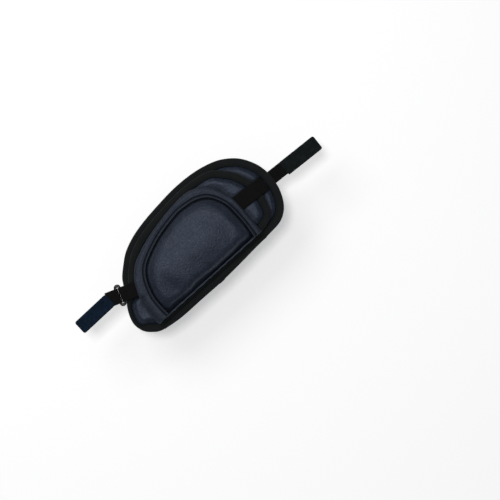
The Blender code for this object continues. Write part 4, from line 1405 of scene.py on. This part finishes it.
def pale_floor():
    """A faintly glowing white, clear when seen from below."""
    look = Look("pale_floor")
    look.finish(Base_Color=(0.95, 0.95, 0.95), Roughness=0.9, Specular_IOR_Level=0.1,
                Emission_Color=(1.0, 1.0, 1.0), Emission_Strength=0.40)
    clear = look.node("BsdfTransparent", {})
    below = look.node("NewGeometry", {}).outputs["Backfacing"]
    either = look.node("MixShader", {0: below, 1: look.shader.outputs[0],
                                     2: clear.outputs[0]})
    look.put(look.tree.nodes["Material Output"].inputs["Surface"], either.outputs[0])
    return look.material


floor_mesh.materials.append(pale_floor())

# The world is bright to the camera and dim as a light.
world = bpy.data.worlds.new("studio")
bpy.context.scene.world = world
world.use_nodes = True
tree = world.node_tree
background = tree.nodes["Background"]
background.inputs[0].default_value = (0.93, 0.96, 1.0, 1.0)
camera_ray = tree.nodes.new("ShaderNodeLightPath").outputs["Is Camera Ray"]
level = tree.nodes.new("ShaderNodeMapRange")
tree.links.new(camera_ray, level.inputs["Value"])
level.inputs["To Min"].default_value = 0.19
level.inputs["To Max"].default_value = 1.0
tree.links.new(level.outputs[0], background.inputs[1])

# Right and up in the camera's view, and the point that the lamps face.
RIGHT = Vector((0.7547, -0.6561, 0.0))
UP = Vector((0.6561, 0.7547, 0.0))
AIM_Z = 0.010
AIM = Vector((0.0, 0.0, AIM_Z))


def lamp(name, right, up, height, size, power):
    """A square, slightly warm area light turned to the aim point."""
    light = bpy.data.lights.new(name, "AREA")
    light.shape = "RECTANGLE"
    light.size = light.size_y = size
    light.energy = power
    light.color = (1.0, 0.99, 0.98)
    obj = bpy.data.objects.new(name, light)
    obj.location = AIM + RIGHT * right + UP * up + Vector((0, 0, height))
    obj.rotation_mode = "QUATERNION"
    obj.rotation_quaternion = (AIM - obj.location).to_track_quat("-Z", "Y")
    bpy.context.scene.collection.objects.link(obj)


lamp("key", right=-0.60, up=0.62, height=1.15, size=0.7, power=5.0)
lamp("top", right=-0.18, up=0.18, height=2.2, size=0.36, power=15.5)

# The camera looks straight down on a view 0.5 m wide.
SENSOR, LENS, VIEW_WIDTH = 36.0, 100.0, 0.5
camera = bpy.data.cameras.new("camera")
camera.sensor_width, camera.lens = SENSOR, LENS
camera.clip_start, camera.clip_end = 0.05, 20.0
eye = bpy.data.objects.new("camera", camera)
eye.location = (*metres(35.65, -44.7), VIEW_WIDTH * LENS / SENSOR + AIM_Z)
eye.rotation_euler = (0.0, 0.0, math.radians(-41.0))
bpy.context.scene.collection.objects.link(eye)
bpy.context.scene.camera = eye
bpy.context.scene.view_settings.view_transform = "Standard"

bpy.context.view_layer.update()
